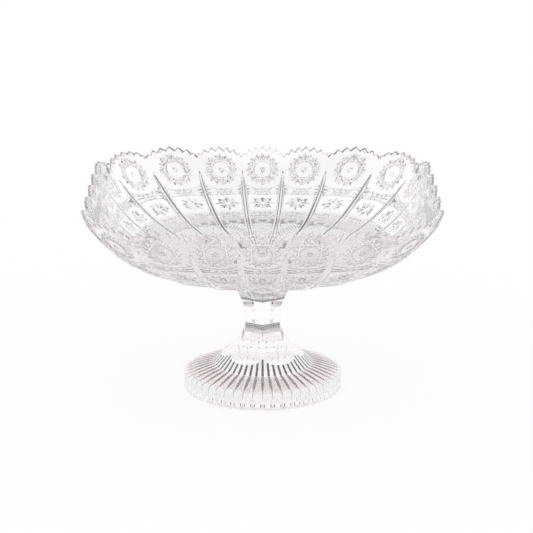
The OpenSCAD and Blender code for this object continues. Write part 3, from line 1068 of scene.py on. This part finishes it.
    def _draw_bands(self, sheet: Drawing, width: Width) -> None:
        """Draws the bands: their foot lines, and the lines at each ridge and valley between them.

        Args:
            sheet: The panel's drawing.
            width: The panel's width at lengths s.
        """
        for band in (self.upper_band, self.lower_band):
            u = np.linspace(-1, 1, band.line_points)
            low, top = self.band_lines(band, u)
            band.draw_crosses(sheet, low.max(), top.min())
            lines = [low - band.edge, top + band.edge]
            lines += [low + (top - low) * i / (2 * band.valleys) for i in range(2 * band.valleys + 1)]
            for s in lines:
                limit = self.field_half(width(s), s)
                x = np.clip(u * width(s) / 2, -limit, limit)
                sheet.line(np.stack([x, s], -1))

    def _draw_diamonds(self, sheet: Drawing, width: Width) -> None:
        """Draws the pyramids: edges between the corners of each diamond, and from its corners to its peak.

        The corners and peaks are the places of a grid of half rows and half columns whose sum is even. Each
        is joined to the next ones on both slanting lines, in its row and in its column.

        Args:
            sheet: The panel's drawing.
            width: The panel's width at lengths s.
        """
        rows, n = self.diamond_rows(), self.diamonds_across
        row, column = np.meshgrid(np.arange(0, 2 * rows + 1), np.arange(-2 * n, 2 * n + 1), indexing="ij")
        corner = (row + column) % 2 == 0
        number = np.full(row.shape, -1)
        number[corner] = np.arange(corner.sum())
        wide = np.pad(number, 2, constant_values=-1)
        ends = np.stack([wide[2 + down:2 + down + row.shape[0], 2 + right:2 + right + row.shape[1]][corner]
                         for down, right in ((1, 1), (1, -1), (2, 0), (0, 2))], -1)
        starts = np.broadcast_to(number[corner][:, None], ends.shape)
        edges = np.stack([starts, ends], -1)[ends >= 0]
        row, column = row[corner] / 2, column[corner] / 2
        s = self.pad_s + row * self.diamond_s
        sheet.creases(np.stack([column / n * self.field_half(width(s), s), s], -1), edges)

    def _clear_points(self, width: Width, barrel_s: float, oval_s: float) -> Array:
        """Points spread over the clear fields, so that these follow the wall's curve.

        They fill a grid over the panel, apart from the stars, bands, ribs and diamonds and a margin round
        them.

        Args:
            width: The panel's width at lengths s.
            barrel_s: Length s of the long star's centre.
            oval_s: Length s of the rosette's centre.

        Returns:
            Places as x and s.
        """
        margin, step = self.clear_margin, self.clear_step
        x, s = np.meshgrid(
            np.arange(-self.clear_columns, self.clear_columns + 1) * step,
            np.arange(self.diamond_top_s() + step / 2, self.rim_s + self.clear_over_rim, step))
        x, s = x.ravel(), s.ravel()
        keep = np.abs(x) < self.field_half(width(s), s) - margin
        keep &= np.hypot(x, s - self.star_s) > self.star.radius + margin / 2
        for shape, centre in ((self.barrel, barrel_s), (self.oval, oval_s)):
            keep &= np.hypot(x / (shape.half_w + margin), (s - centre) / (shape.half_h + margin)) > 1
        for band in (self.upper_band, self.lower_band):
            low, top = self.band_lines(band, 2 * x / width(s))
            keep &= (s < low - band.edge - margin / 2) | (s > top + band.edge + margin / 2)
        u, tooth_s = self.teeth()
        keep &= s < np.interp(2 * x / width(s), u[1::2], tooth_s[1::2]) - margin
        return np.stack([x[keep], s[keep]], -1)

    def _cut_shade_mark(self, s: Array, h: Array) -> Array:
        """Painted shade: the height or depth over a full mark's, times a gain that grows down the wall."""
        gain = 1 + (self.low_shade_gain - 1) * unit_fraction(s, self.taper_s, self.oval_low_s)
        return np.clip(gain * np.abs(h) / self.full_shade_depth, 0, 1)

    def _rose_shade_mark(self, u: Array, s: Array) -> Array:
        """Rosy painted shade: 1 between the teeth and the rim line's full share, and a tone low on the wall.
        """
        peaks_u, tooth_s = self.teeth()
        on_rim = np.interp(u, peaks_u, tooth_s) - s < (1 + self.rim_full) / 2 * self.rim_line
        low = self.low_rose_shade * unit_fraction(s, self.tone_start_s, self.tone_full_s)
        return np.maximum(on_rim, low)

    def build(self) -> bpy.types.Object:
        """Builds the bowl's mesh.

        Panels that are each other's turned image share one drawing.

        Returns:
            The bowl as one closed piece.
        """
        shell, form = Shell(), self.form
        drawings: dict[int, tuple[Array, Array, Array]] = {}
        quarter = form.panels // 4
        for k in range(form.panels):
            middle = -TURN / 4 + k * form.panel_turn
            fold = min(k % quarter, quarter - k % quarter) * (1 if k % quarter <= quarter / 2 else -1)
            if fold not in drawings:
                drawings[fold] = self.draw_panel(middle)
            at, faces, h = drawings[fold]
            x, s = at.T
            width = form.panel_width(middle, s)
            flat = np.abs(h[faces]).max(1) > NEARLY
            shell.add(form.point(middle + form.panel_turn * x / width, s, h), faces, ~flat,
                      self._cut_shade_mark(s, h), self._rose_shade_mark(2 * x / width, s))
            self._add_inside(shell, middle)
        self._add_bottom(shell)
        return shell.build("cut_bowl")

    def _add_inside(self, shell: Shell, middle: float) -> None:
        """Adds a panel's share of the rim's top face and of the smooth inner wall.

        Args:
            shell: The bowl's triangles.
            middle: Angle of the panel's middle.
        """
        form = self.form
        half = form.panel_turn / 2
        u, tooth_s = self.teeth()
        angle = middle + u * half
        outer = form.point(angle, tooth_s, 0.0)
        drop = form.rim_wall / math.tan(form.wall_slope)
        inner = form.point(angle, tooth_s - drop, -form.rim_wall)
        # The outer part of the rim's top face takes the rosy painted shade
        share = np.array([0, self.top_full, self.top_gone, 1])[:, None, None]
        rose = self.top_rose_shade * (share[..., 0] < (self.top_full + self.top_gone) / 2)
        shell.add_grid(outer + (inner - outer) * share, False, INNER_MARK, rose)
        rows = np.arange(1, self.inner_wall_rows + 1) / self.inner_wall_rows
        wall_s = form.length_at(form.rim_z - (form.rim_z - self.oval_low_z) * rows)
        floor_s = self.oval_low_s * np.linspace(1, 0, self.inner_floor_rows + 1)[1:]
        column = np.linspace(-1, 1, self.inner_columns + 1)
        ss, uu = np.meshgrid(np.concatenate([wall_s, floor_s]), column, indexing="ij")
        grid = form.point(middle + uu * half, ss, -form.wall(ss))
        strip = zipper(np.arange(len(u)), u, np.arange(len(column)) + len(u), column)
        shell.add(np.vstack([inner, grid[0]]), strip, True, INNER_MARK)
        shell.add_grid(grid, True, INNER_MARK)

    def _add_bottom(self, shell: Shell) -> None:
        """Adds the flat face that sits on the stem, the neck round it, and the middle of the inner floor.

        Args:
            shell: The bowl's triangles.
        """
        form, count, front = self.form, self.form.panels, -TURN / 4
        pad_s = np.array([self.pad_s])
        width = form.panel_width(front, pad_s)[0]
        outline = self._outline(lambda s: form.panel_width(front, s))
        on_row = outline[np.abs(outline[:, 1] - self.pad_s) < NEARLY]
        x = np.sort(np.unique(np.round(on_row[:, 0], EDGE_DECIMALS)))
        angle = front + (np.arange(count)[:, None] + (x / width)[None, :-1]).ravel() * form.panel_turn
        from_edge = (width / 2 - np.abs(x[:-1])) / self.rib_half(np.array([width]), pad_s)[0]
        h = np.tile(self.rib.crest_h * self.rib.profile(from_edge), count)
        upper = form.point(angle, np.full_like(angle, self.pad_s), h)
        lower = np.stack([self.pad_r * np.cos(angle), self.pad_r * np.sin(angle),
                          np.full_like(angle, self.seat_z + FACE_GAP)], -1)
        grid = np.stack([lower, upper])
        shell.add_grid(np.concatenate([grid, grid[:, :1]], 1), True)
        shell.add_fan(lower, np.array([0, 0, self.seat_z + FACE_GAP]), False, False)
        column = np.linspace(-1, 1, self.inner_columns + 1)[:-1]
        angle = front + (np.arange(count)[:, None] + column[None] / 2).ravel() * form.panel_turn
        ring = form.point(angle, np.zeros_like(angle), -form.wall(np.zeros_like(angle)))
        shell.add_fan(ring, np.array([0, 0, ring[0, 2]]), True, True, INNER_MARK)


@dataclass
class SixSidedStem:
    """The stem: six hollow-ground sides that widen upwards, with narrow facets on their edges."""

    waist_half_w: float = 0.014
    waist_z: float = 0.0554
    straight_h: float = 0.004
    curve_r: float = 0.050
    seat_z: float = 0.0874
    bond_t: float = 0.0002
    facet_w: float = 0.0006
    sides: int = 6
    rows: int = 48
    columns: int = 12
    # The head's painted shade: the height of its lower edge, the rows beside that, its strength and least
    # share, and how its waves turn across a side and climb
    head_z: float = 0.0778
    head_row: float = 0.0004
    head_shade: float = 0.8
    head_least: float = 0.3
    waves_across: Span = (9, 5)
    waves_up: Span = (0.0011, 0.0017)
    # The dark lines at the head's edge and at the joint below, and the painted shade that an arris adds
    line_cut: float = 0.95
    line_half_h: float = 0.0009
    joint_line_h: float = 0.0012
    arris_shade: float = 0.2

    def half_width(self, z: Array) -> Array:
        """Half width across the flats: the waist's and the radius, less the root of the circle's rest."""
        rise = np.maximum(0, z - self.waist_z - self.straight_h)
        return self.waist_half_w + self.curve_r - np.sqrt(self.curve_r**2 - rise**2)

    def build(self) -> bpy.types.Object:
        """Builds the stem's mesh.

        Returns:
            The stem as one closed piece.
        """
        shell = Shell()
        low_z = self.waist_z + self.bond_t + FACE_GAP
        top_z = self.seat_z - self.bond_t - FACE_GAP
        z = np.concatenate([np.linspace(low_z, self.head_z - self.head_row, self.rows),
                            [self.head_z, self.head_z + 2 * self.head_row],
                            np.linspace(self.head_z + 4 * self.head_row, top_z, self.rows // 3)])
        half_w = self.half_width(z)[:, None]
        edge = half_w * math.tan(TURN / self.sides / 2) - self.facet_w / 2
        share = np.linspace(-1, 1, self.columns + 1)
        shading = self._shading(z, share)
        flats = []
        for k in range(self.sides):
            turn = TURN * k / self.sides
            flats.append(self._turned(half_w + 0 * share, edge * share, z, turn))
            shell.add_grid(flats[-1], True, shading)
            last = self._turned(half_w, edge, z, turn)
            following = self._turned(half_w, -edge, z, turn + TURN / self.sides)
            # Each arris takes a line of painted shade on top of the side's marks
            shell.add_grid(np.concatenate([last, following], 1), False, shading[:, :2] + self.arris_shade)
        for row, upwards in ((0, False), (-1, True)):
            ring = np.vstack([flat[row] for flat in flats])
            shell.add_fan(ring, np.array([0, 0, z[row]]), upwards, False)
        return shell.build("six_sided_stem")

    def _shading(self, z: Array, share: Array) -> Array:
        """Cut marks: none below the head, dark lines at its edge and the joint, then waves of painted shade.

        The waves are the product of two cosines, each of the share across times a count plus or less the
        height over a step.

        Args:
            z: Heights of the rows.
            share: Places of the columns across a side, from -1 to 1.

        Returns:
            One mark for each row and column.
        """
        above = z[:, None] - self.head_z
        first = np.cos(self.waves_across[0] * share[None] + above / self.waves_up[0])
        second = np.cos(self.waves_across[1] * share[None] - above / self.waves_up[1])
        wave = 0.5 + 0.5 * first * second
        head = self.head_shade * (self.head_least + (1 - self.head_least) * wave)
        line = (np.abs(above) < self.line_half_h) | (z[:, None] < self.waist_z + self.joint_line_h)
        return np.where(line, self.line_cut, np.where(above > 0, head, 0.0))

    @staticmethod
    def _turned(out: Array, aside: Array, z: Array, turn: float) -> Array:
        """Places turned round the axis.

        Args:
            out: Distances from the axis, square to a side.
            aside: Distances along the side.
            z: Heights of the rows.
            turn: Angle of the turn.

        Returns:
            Rows and columns of x, y, z.
        """
        x = out * math.cos(turn) - aside * math.sin(turn)
        y = out * math.sin(turn) + aside * math.cos(turn)
        return np.stack([x, y, np.broadcast_to(z[:, None], x.shape)], -1)


@dataclass
class RayedFoot:
    """The foot: six petals that fall from the waist, a collar, a rayed top and a lobed edge."""

    radius: float = 0.064
    edge_h: float = 0.0142
    waist_half_w: float = 0.014
    waist_z: float = 0.0554
    curve_r: float = 0.0294
    collar_r: float = 0.040
    collar_z: float = 0.0214
    cusp_inset: float = 0.0097
    cusp_z: float = 0.0312
    bevel_w: float = 0.0026
    bevel_h: float = 0.0008
    bevel_notch_share: float = 0.3
    rays: int = 50
    ray_depth: float = 0.0009
    crown: float = 0.0002
    groove_from: float = 0.6
    groove_places: tuple[float, ...] = (0, 0.12, 0.8, 1)
    groove_depths: tuple[float, ...] = (0.35, 1, 1, 0.35)
    flute_share: float = 0.5
    flute_fade: float = 4
    notch_depth: float = 0.0010
    notch_power: float = 2.6
    lip_drop: float = 0.0009
    lip_power: float = 1.6
    rest_inner_r: float = 0.050
    rest_hollow: float = 0.0022
    rest_edge: float = 0.0008
    sides: int = 6
    per_ray: int = 12
    petal_rows: int = 30
    collar_rows: int = 6
    top_rows: int = 10
    top_span: Span = (0.03, 0.97)
    # Painted shade: where in a lobe a groove's shade starts and its width there, its strength and lens shape
    # on the top, its gain on the collar, and the shades of the notches from the table up to the bevel
    shade_from: float = 0.45
    shade_w: float = 0.3
    groove_shade: float = 0.92
    lens_least: float = 0.85
    lens_grow: float = 0.9
    lens_power: float = 2
    collar_shade_gain: float = 1.5
    notch_from: float = 0.9
    notch_shades: tuple[float, ...] = (0.03, 0.04, 0.06, 0.9, 1.0)
    # The painted shade below the joint: its height and power, and the least and added shade of the arris
    shade_h: float = 0.010
    shade_power: float = 1.2
    arris_least: float = 0.2
    arris_added: float = 0.6
    arris_reach: float = 1.3
    arris_columns: float = 2.5
    flat_columns: float = 1.5

    @property
    def column_turn(self) -> float:
        """The angle between two columns of points."""
        return TURN / self.rays / self.per_ray

    def petal_reach(self, z: Array) -> Array:
        """Distance of a petal's middle from the axis: waist and radius, less the circle's rest's root."""
        fall = self.waist_z - z
        return self.waist_half_w + self.curve_r - np.sqrt(np.maximum(0, self.curve_r**2 - fall**2))

    def collar_reach(self, z: Array) -> Array:
        """Distance of the collar from the axis, which falls evenly with height."""
        return self.collar_r - (z - self.collar_z) * self.cusp_inset / (self.cusp_z - self.collar_z)

    def petal_end(self, over: Array, halvings: int = 40) -> Array:
        """Height at which each column leaves its petal for the collar, found by halving the interval.

        Args:
            over: One over the cosine of the column's angle from its petal's middle.
            halvings: Number of times that the interval is halved.

        Returns:
            One height for each column.
        """
        low, high = np.full_like(over, self.collar_z), np.full_like(over, self.waist_z)
        for _ in range(halvings):
            middle = (low + high) / 2
            outside = self.petal_reach(middle) * over > self.collar_reach(middle)
            low, high = np.where(outside, middle, low), np.where(outside, high, middle)
        return (low + high) / 2

    def build(self) -> bpy.types.Object:
        """Builds the foot's mesh.

        Returns:
            The foot as one closed piece.
        """
        shell = Shell()
        columns = self.rays * self.per_ray
        angle = np.arange(columns + 1) * TURN / columns
        side = TURN / self.sides
        from_middle = (angle + side / 2) % side - side / 2
        over = 1 / np.cos(from_middle)
        lobe = np.abs((angle * self.rays / TURN + 0.5) % 1 - 0.5) * 2
        end_z = self.petal_end(over)
        rise = np.linspace(1, 0, self.petal_rows)[:, None]
        z = end_z + (self.waist_z - FACE_GAP - end_z) * (1 - rise)
        petal = self._ring(self.petal_reach(z) * over, z, angle)
        share = np.linspace(0, 1, self.collar_rows)[:, None]
        z = self.collar_z + (end_z - self.collar_z) * share
        flute = self.ray_depth * self.flute_share * (1 - np.cos(lobe * math.pi)) / 2
        flute = flute * np.minimum(1, self.flute_fade * (1 - share))
        collar = self._ring(self.collar_reach(z) - flute, z, angle)
        top, edge = self._top(lobe, angle)
        collar[0] = top[-1]
        in_groove = np.clip((lobe - self.shade_from) / self.shade_w, 0, 1)
        # The edge's two upright strips are smooth, and the bevels beside them flat
        upright = np.isin(np.arange(len(edge) - 1), (1, 2))[:, None]
        # Painted shade in the notches of the edge, from the table up to the bevel
        notch_shade = np.array(self.notch_shades)[:, None] * (lobe > self.notch_from)
        rays = np.ones((len(top), 1))
        rays[[0, -1]] = 0
        from_arris = np.abs(np.abs(from_middle) - side / 2)
        near = from_arris < self.flat_columns * self.column_turn
        shell.add_grid(edge, upright, notch_shade)
        # Painted shade in the grooves of the top and the flutes of the collar
        shell.add_grid(top, True, self._groove_shade(len(top), in_groove), rays * (1 - in_groove))
        shell.add_grid(collar, True, np.minimum(1, self.collar_shade_gain * in_groove))
        shell.add_grid(petal, ~(near[:-1] & near[1:]), self._petal_shade(petal, from_arris))
        shell.add_fan(petal[-1][:-1], np.array([0, 0, petal[-1, 0, 2]]), True, False)
        self._add_underside(shell, edge[0], angle)
        return shell.build("rayed_foot")

    @staticmethod
    def _ring(r: Array, z: Array, angle: Array) -> Array:
        """Places at distances r and heights z, for each angle."""
        r, z, angle = np.broadcast_arrays(r, z, angle)
        return np.stack([r * np.cos(angle), r * np.sin(angle), z], -1)

    def _top(self, lobe: Array, angle: Array) -> tuple[Array, Array]:
        """The rayed top and the lobed edge.

        Each ray is slightly crowned and ends at a groove on each side, V-shaped over the last part of the
        lobe. The edge's radius falls towards each notch with a power of the place in the lobe, as does its
        top.

        Args:
            lobe: Place in the lobe, 0 at its middle and 1 at its notches.
            angle: Angle of each column.

        Returns:
            The top's grid from the bevel inwards, and the edge's grid from the table up to the bevel.
        """
        notch = self.notch_depth * lobe**self.notch_power
        outer = self.radius - notch
        bevel_r = self.radius - self.bevel_w - self.bevel_notch_share * notch
        bevel_z = self.edge_h + self.bevel_h
        share = np.concatenate([[0], np.linspace(*self.top_span, self.top_rows), [1]])[:, None]
        r = bevel_r + (self.collar_r - bevel_r) * share
        z = bevel_z + (self.collar_z - bevel_z) * share
        groove = np.clip((lobe - self.groove_from) / (1 - self.groove_from), 0, 1)
        grow = np.interp(share, self.groove_places, self.groove_depths)
        top = self._ring(r, z - self.ray_depth * groove * grow - self.crown * lobe**2, angle)
        edge = np.stack([
            self._ring(outer - self.rest_edge, 0 * lobe, angle),
            self._ring(outer, self.rest_edge, angle),
            self._ring(outer, self.edge_h / 2, angle),
            self._ring(outer, self.edge_h - self.lip_drop * lobe**self.lip_power, angle),
            top[0]])
        return top, edge

    def _groove_shade(self, rows: int, in_groove: Array) -> Array:
        """Painted shade of the top: lens-shaped in the grooves, by the sine of a power of the way inwards.

        Args:
            rows: Number of rows from the bevel inwards.
            in_groove: How far in a groove's shade each column is.

        Returns:
            One mark for each row and column.
        """
        share = np.linspace(0, 1, rows)[:, None]
        lens = self.lens_grow * np.sin(math.pi * share**self.lens_power) - self.lens_least
        return self.groove_shade * np.clip((in_groove + lens) / self.shade_w, 0, 1) * (in_groove > 0)

    def _petal_shade(self, petal: Array, from_arris: Array) -> Array:
        """Cut marks of the petals: painted shade just below the joint, and a thin line of it on each arris.

        Args:
            petal: The petals' grid.
            from_arris: Angle of each column from the nearest arris.

        Returns:
            One mark for each row and column.
        """
        fall = (self.waist_z - petal[..., 2]) / self.shade_h
        shade_below_joint = np.clip(1 - fall, 0, 1) ** self.shade_power
        arris = self.arris_least + self.arris_added * np.clip(self.arris_reach - fall, 0, 1)
        return np.maximum(shade_below_joint, (from_arris < self.arris_columns * self.column_turn) * arris)

    def _add_underside(self, shell: Shell, rim: Array, angle: Array) -> None:
        """Adds the ring that the foot rests on and the shallow hollow inside it.

        Args:
            shell: The foot's triangles.
            rim: The lowest row of the edge.
            angle: Angle of each column.
        """
        ring_in = self._ring(self.rest_inner_r, 0 * angle, angle)
        hollow = self._ring(self.rest_inner_r - self.rest_edge, self.rest_hollow, angle)
        shell.add_grid(np.stack([ring_in, rim]), False)
        shell.add_grid(np.stack([hollow, ring_in]), False)
        shell.add_fan(hollow[:-1], np.array([0, 0, self.rest_hollow]), False, False)


@dataclass(frozen=True)
class Studio:
    """A white floor under a white sky, with a patterned light that only glass sees, and the camera.

    The pattern is what a room holds around a light table, by direction: a dark room in front and above,
    grey stripes and a level grey bar behind, below the horizon, then a rosy ring and white straight below.
    Each span gives the two ends of a smooth step of a direction's x, y or z.
    """

    floor_half_w: float = 6.0
    floor_colour: Colour = (0.98, 0.98, 0.98)
    shadow_share: float = 0.1
    grey: Colour = (0.08, 0.08, 0.08)
    rose: Colour = (0.94, 0.88, 0.88)
    room_share: float = 0.95
    room_y: Span = (0.3, 0.55)
    room_z: Span = (0.45, 0.60)
    high_share: float = 0.35
    high_y: Span = (0.3, 0.0)
    high_z: Span = (0.34, 0.52)
    behind_y: Span = (0.62, 0.80)
    stripes: int = 16
    stripe_share: float = 0.85
    stripe_wave: Span = (-0.6, -0.9)
    stripe_top_z: Span = (0.0, -0.08)
    stripe_low_z: Span = (-0.60, -0.52)
    level_share: float = 0.85
    level_top_z: Span = (-0.33, -0.36)
    level_low_z: Span = (-0.46, -0.43)
    rose_z: Span = (-0.60, -0.75)
    below_z: Span = (-0.90, -0.97)
    focal_px: float = 2355.0
    frame_px: float = 533.0
    target_px: Span = (262.6, 291.7)
    target_z: float = 0.080
    distance: float = 1.908
    elevation_deg: float = 16.71
    sensor_w: float = 36.0
    bounces: int = 32

    def build(self) -> None:
        """Builds the floor, the world and the camera, and lets light pass the many faces of cut glass."""
        self._floor()
        self._world()
        self._camera()
        cycles = bpy.context.scene.cycles
        cycles.max_bounces = cycles.diffuse_bounces = self.bounces
        cycles.glossy_bounces = cycles.transmission_bounces = self.bounces

    def _floor(self) -> None:
        """Adds the floor: white to the camera but for a soft share of its shadow, and clear to glass."""
        w = self.floor_half_w
        mesh = bpy.data.meshes.new("floor")
        mesh.from_pydata([(-w, -w, 0), (w, -w, 0), (w, w, 0), (-w, w, 0)], [], [(0, 1, 2, 3)])
        floor = bpy.data.objects.new("floor", mesh)
        bpy.context.scene.collection.objects.link(floor)
        made = bpy.data.materials.new("studio_floor")
        made.use_nodes = True
        wiring = Wiring(made.node_tree)
        path = wiring.add("ShaderNodeLightPath").outputs
        diffuse = wiring.add("ShaderNodeBsdfDiffuse", {"Color": self.floor_colour}).outputs[0]
        white = wiring.add("ShaderNodeEmission").outputs[0]
        clear = wiring.add("ShaderNodeBsdfTransparent").outputs[0]
        seen = wiring.shaders(self.shadow_share, white, diffuse)
        by_glass = wiring.math("MAXIMUM", path["Is Transmission Ray"], path["Is Glossy Ray"])
        surface = wiring.shaders(by_glass, wiring.shaders(path["Is Camera Ray"], diffuse, seen), clear)
        wiring.add("ShaderNodeOutputMaterial", {"Surface": surface})
        floor.data.materials.append(made)

    def _world(self) -> None:
        """Lights the scene with a white sky, which glass sees with the room's pattern.

        The stripes are where the cosine of a multiple of the direction's bearing is low. Each part of the
        pattern is laid over the ones before it.
        """
        world = bpy.data.worlds.new("white_studio")
        bpy.context.scene.world = world
        world.use_nodes = True
        wiring = Wiring(world.node_tree)
        ramp = wiring.ramp
        way = wiring.add("ShaderNodeTexCoord").outputs["Generated"]
        x, y, z = wiring.add("ShaderNodeSeparateXYZ", {0: way}).outputs

        def product(first: Socket, *others: Socket | float) -> Socket:
            """Product of shares."""
            for other in others:
                first = wiring.math("MULTIPLY", first, other)
            return first

        behind = ramp(y, self.behind_y)
        wave = wiring.math("COSINE", product(wiring.math("ARCTAN2", x, y), float(self.stripes)))
        to_front = ramp(product(y, -1.0), self.room_y)
        room = product(to_front, ramp(z, self.room_z), self.room_share)
        upright = product(ramp(wave, self.stripe_wave), behind, self.stripe_share,
                          ramp(z, self.stripe_top_z), ramp(z, self.stripe_low_z))
        level = product(ramp(z, self.level_top_z), ramp(z, self.level_low_z), behind, self.stripe_share,
                        self.level_share)
        high = product(ramp(z, self.high_z), ramp(y, self.high_y), self.high_share)
        colour: Socket | Colour = WHITE
        for share, part in ((room, self.grey), (upright, self.grey), (level, self.grey), (high, self.grey),
                            (ramp(z, self.rose_z), self.rose), (ramp(z, self.below_z), WHITE)):
            colour = wiring.mix(share, colour, part)
        path = wiring.add("ShaderNodeLightPath").outputs
        plain = wiring.math("MAXIMUM", path["Is Camera Ray"], path["Is Diffuse Ray"])
        sky = wiring.add("ShaderNodeBackground", {"Color": wiring.mix(plain, colour, WHITE)})
        wiring.add("ShaderNodeOutputWorld", {"Surface": sky.outputs[0]})

    def _camera(self) -> None:
        """Places the camera in front and above the horizon, with a shift that keeps the framing."""
        data = bpy.data.cameras.new("camera")
        camera = bpy.data.objects.new("camera", data)
        bpy.context.scene.collection.objects.link(camera)
        rise = math.radians(self.elevation_deg)
        target = Vector((0, 0, self.target_z))
        camera.location = target + self.distance * Vector((0, -math.cos(rise), math.sin(rise)))
        camera.rotation_euler = (target - camera.location).to_track_quat("-Z", "Y").to_euler()
        data.sensor_width = self.sensor_w
        data.lens = self.focal_px / self.frame_px * self.sensor_w
        data.shift_x = (self.frame_px / 2 - self.target_px[0]) / self.frame_px
        data.shift_y = (self.target_px[1] - self.frame_px / 2) / self.frame_px
        data.clip_end = 4 * self.floor_half_w
        bpy.context.scene.camera = camera
        bpy.context.scene.view_settings.view_transform = "Standard"


def main() -> None:
    """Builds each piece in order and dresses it."""
    logging.basicConfig(level=logging.INFO, format="%(message)s")
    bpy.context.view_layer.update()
    bowl_finish = Crystal(
        # The bowl's line colour is a dark line of painted shade along its cuts' shallow edges
        "cut_crystal", Tint.CLEAR, outside=(0.98, 0.935, 0.935), line=(0.14, 0.13, 0.13),
        # The bowl's rose tone is the rim line's and low wall's painted shade: rosy from outside, dark from
        # inside
        rose=Tone(outside=(1.0, 0.92, 0.92), inside=(0.12, 0.06, 0.06)),
        # The bowl's cut tone is painted shade in its cuts, seen from inside the glass
        cut=Tone(outside=WHITE, inside=(0.71, 0.70, 0.70)), ripple=0.02, ripple_scale=60.0)
    stem_finish = Crystal(
        # The stem's cut tone is the colour of its painted shade and dark lines, seen from outside
        "stem_crystal", Tint.ROSY, cut=Tone(outside=(0.06, 0.055, 0.055), inside=(0.95, 0.95, 0.95)),
        ripple=0.04)
    foot_finish = Crystal(
        "foot_crystal", Tint.ROSY, rose=Tone(outside=(0.92, 0.70, 0.70), inside=(0.96, 0.88, 0.88)),
        # The foot's cut tone is the colour of its painted shade, seen from outside
        cut=Tone(outside=(0.03, 0.028, 0.028), inside=(0.9, 0.9, 0.9)), matt_below=0.0025, matt=0.08)
    dress(CutBowl().build(), bowl_finish.material(), "bowl")
    dress(SixSidedStem().build(), stem_finish.material(), "stem")
    dress(RayedFoot().build(), foot_finish.material(), "foot")
    glue = Crystal("clear_adhesive", Tint.GLUE, ior=1.0).material()
    for name in ("bowl_adhesive", "foot_adhesive"):
        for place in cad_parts[name].material_slots:
            place.material = glue
        LOG.info("%s: packed mesh kept", name)
    Studio().build()


if __name__ == "__main__":
    main()
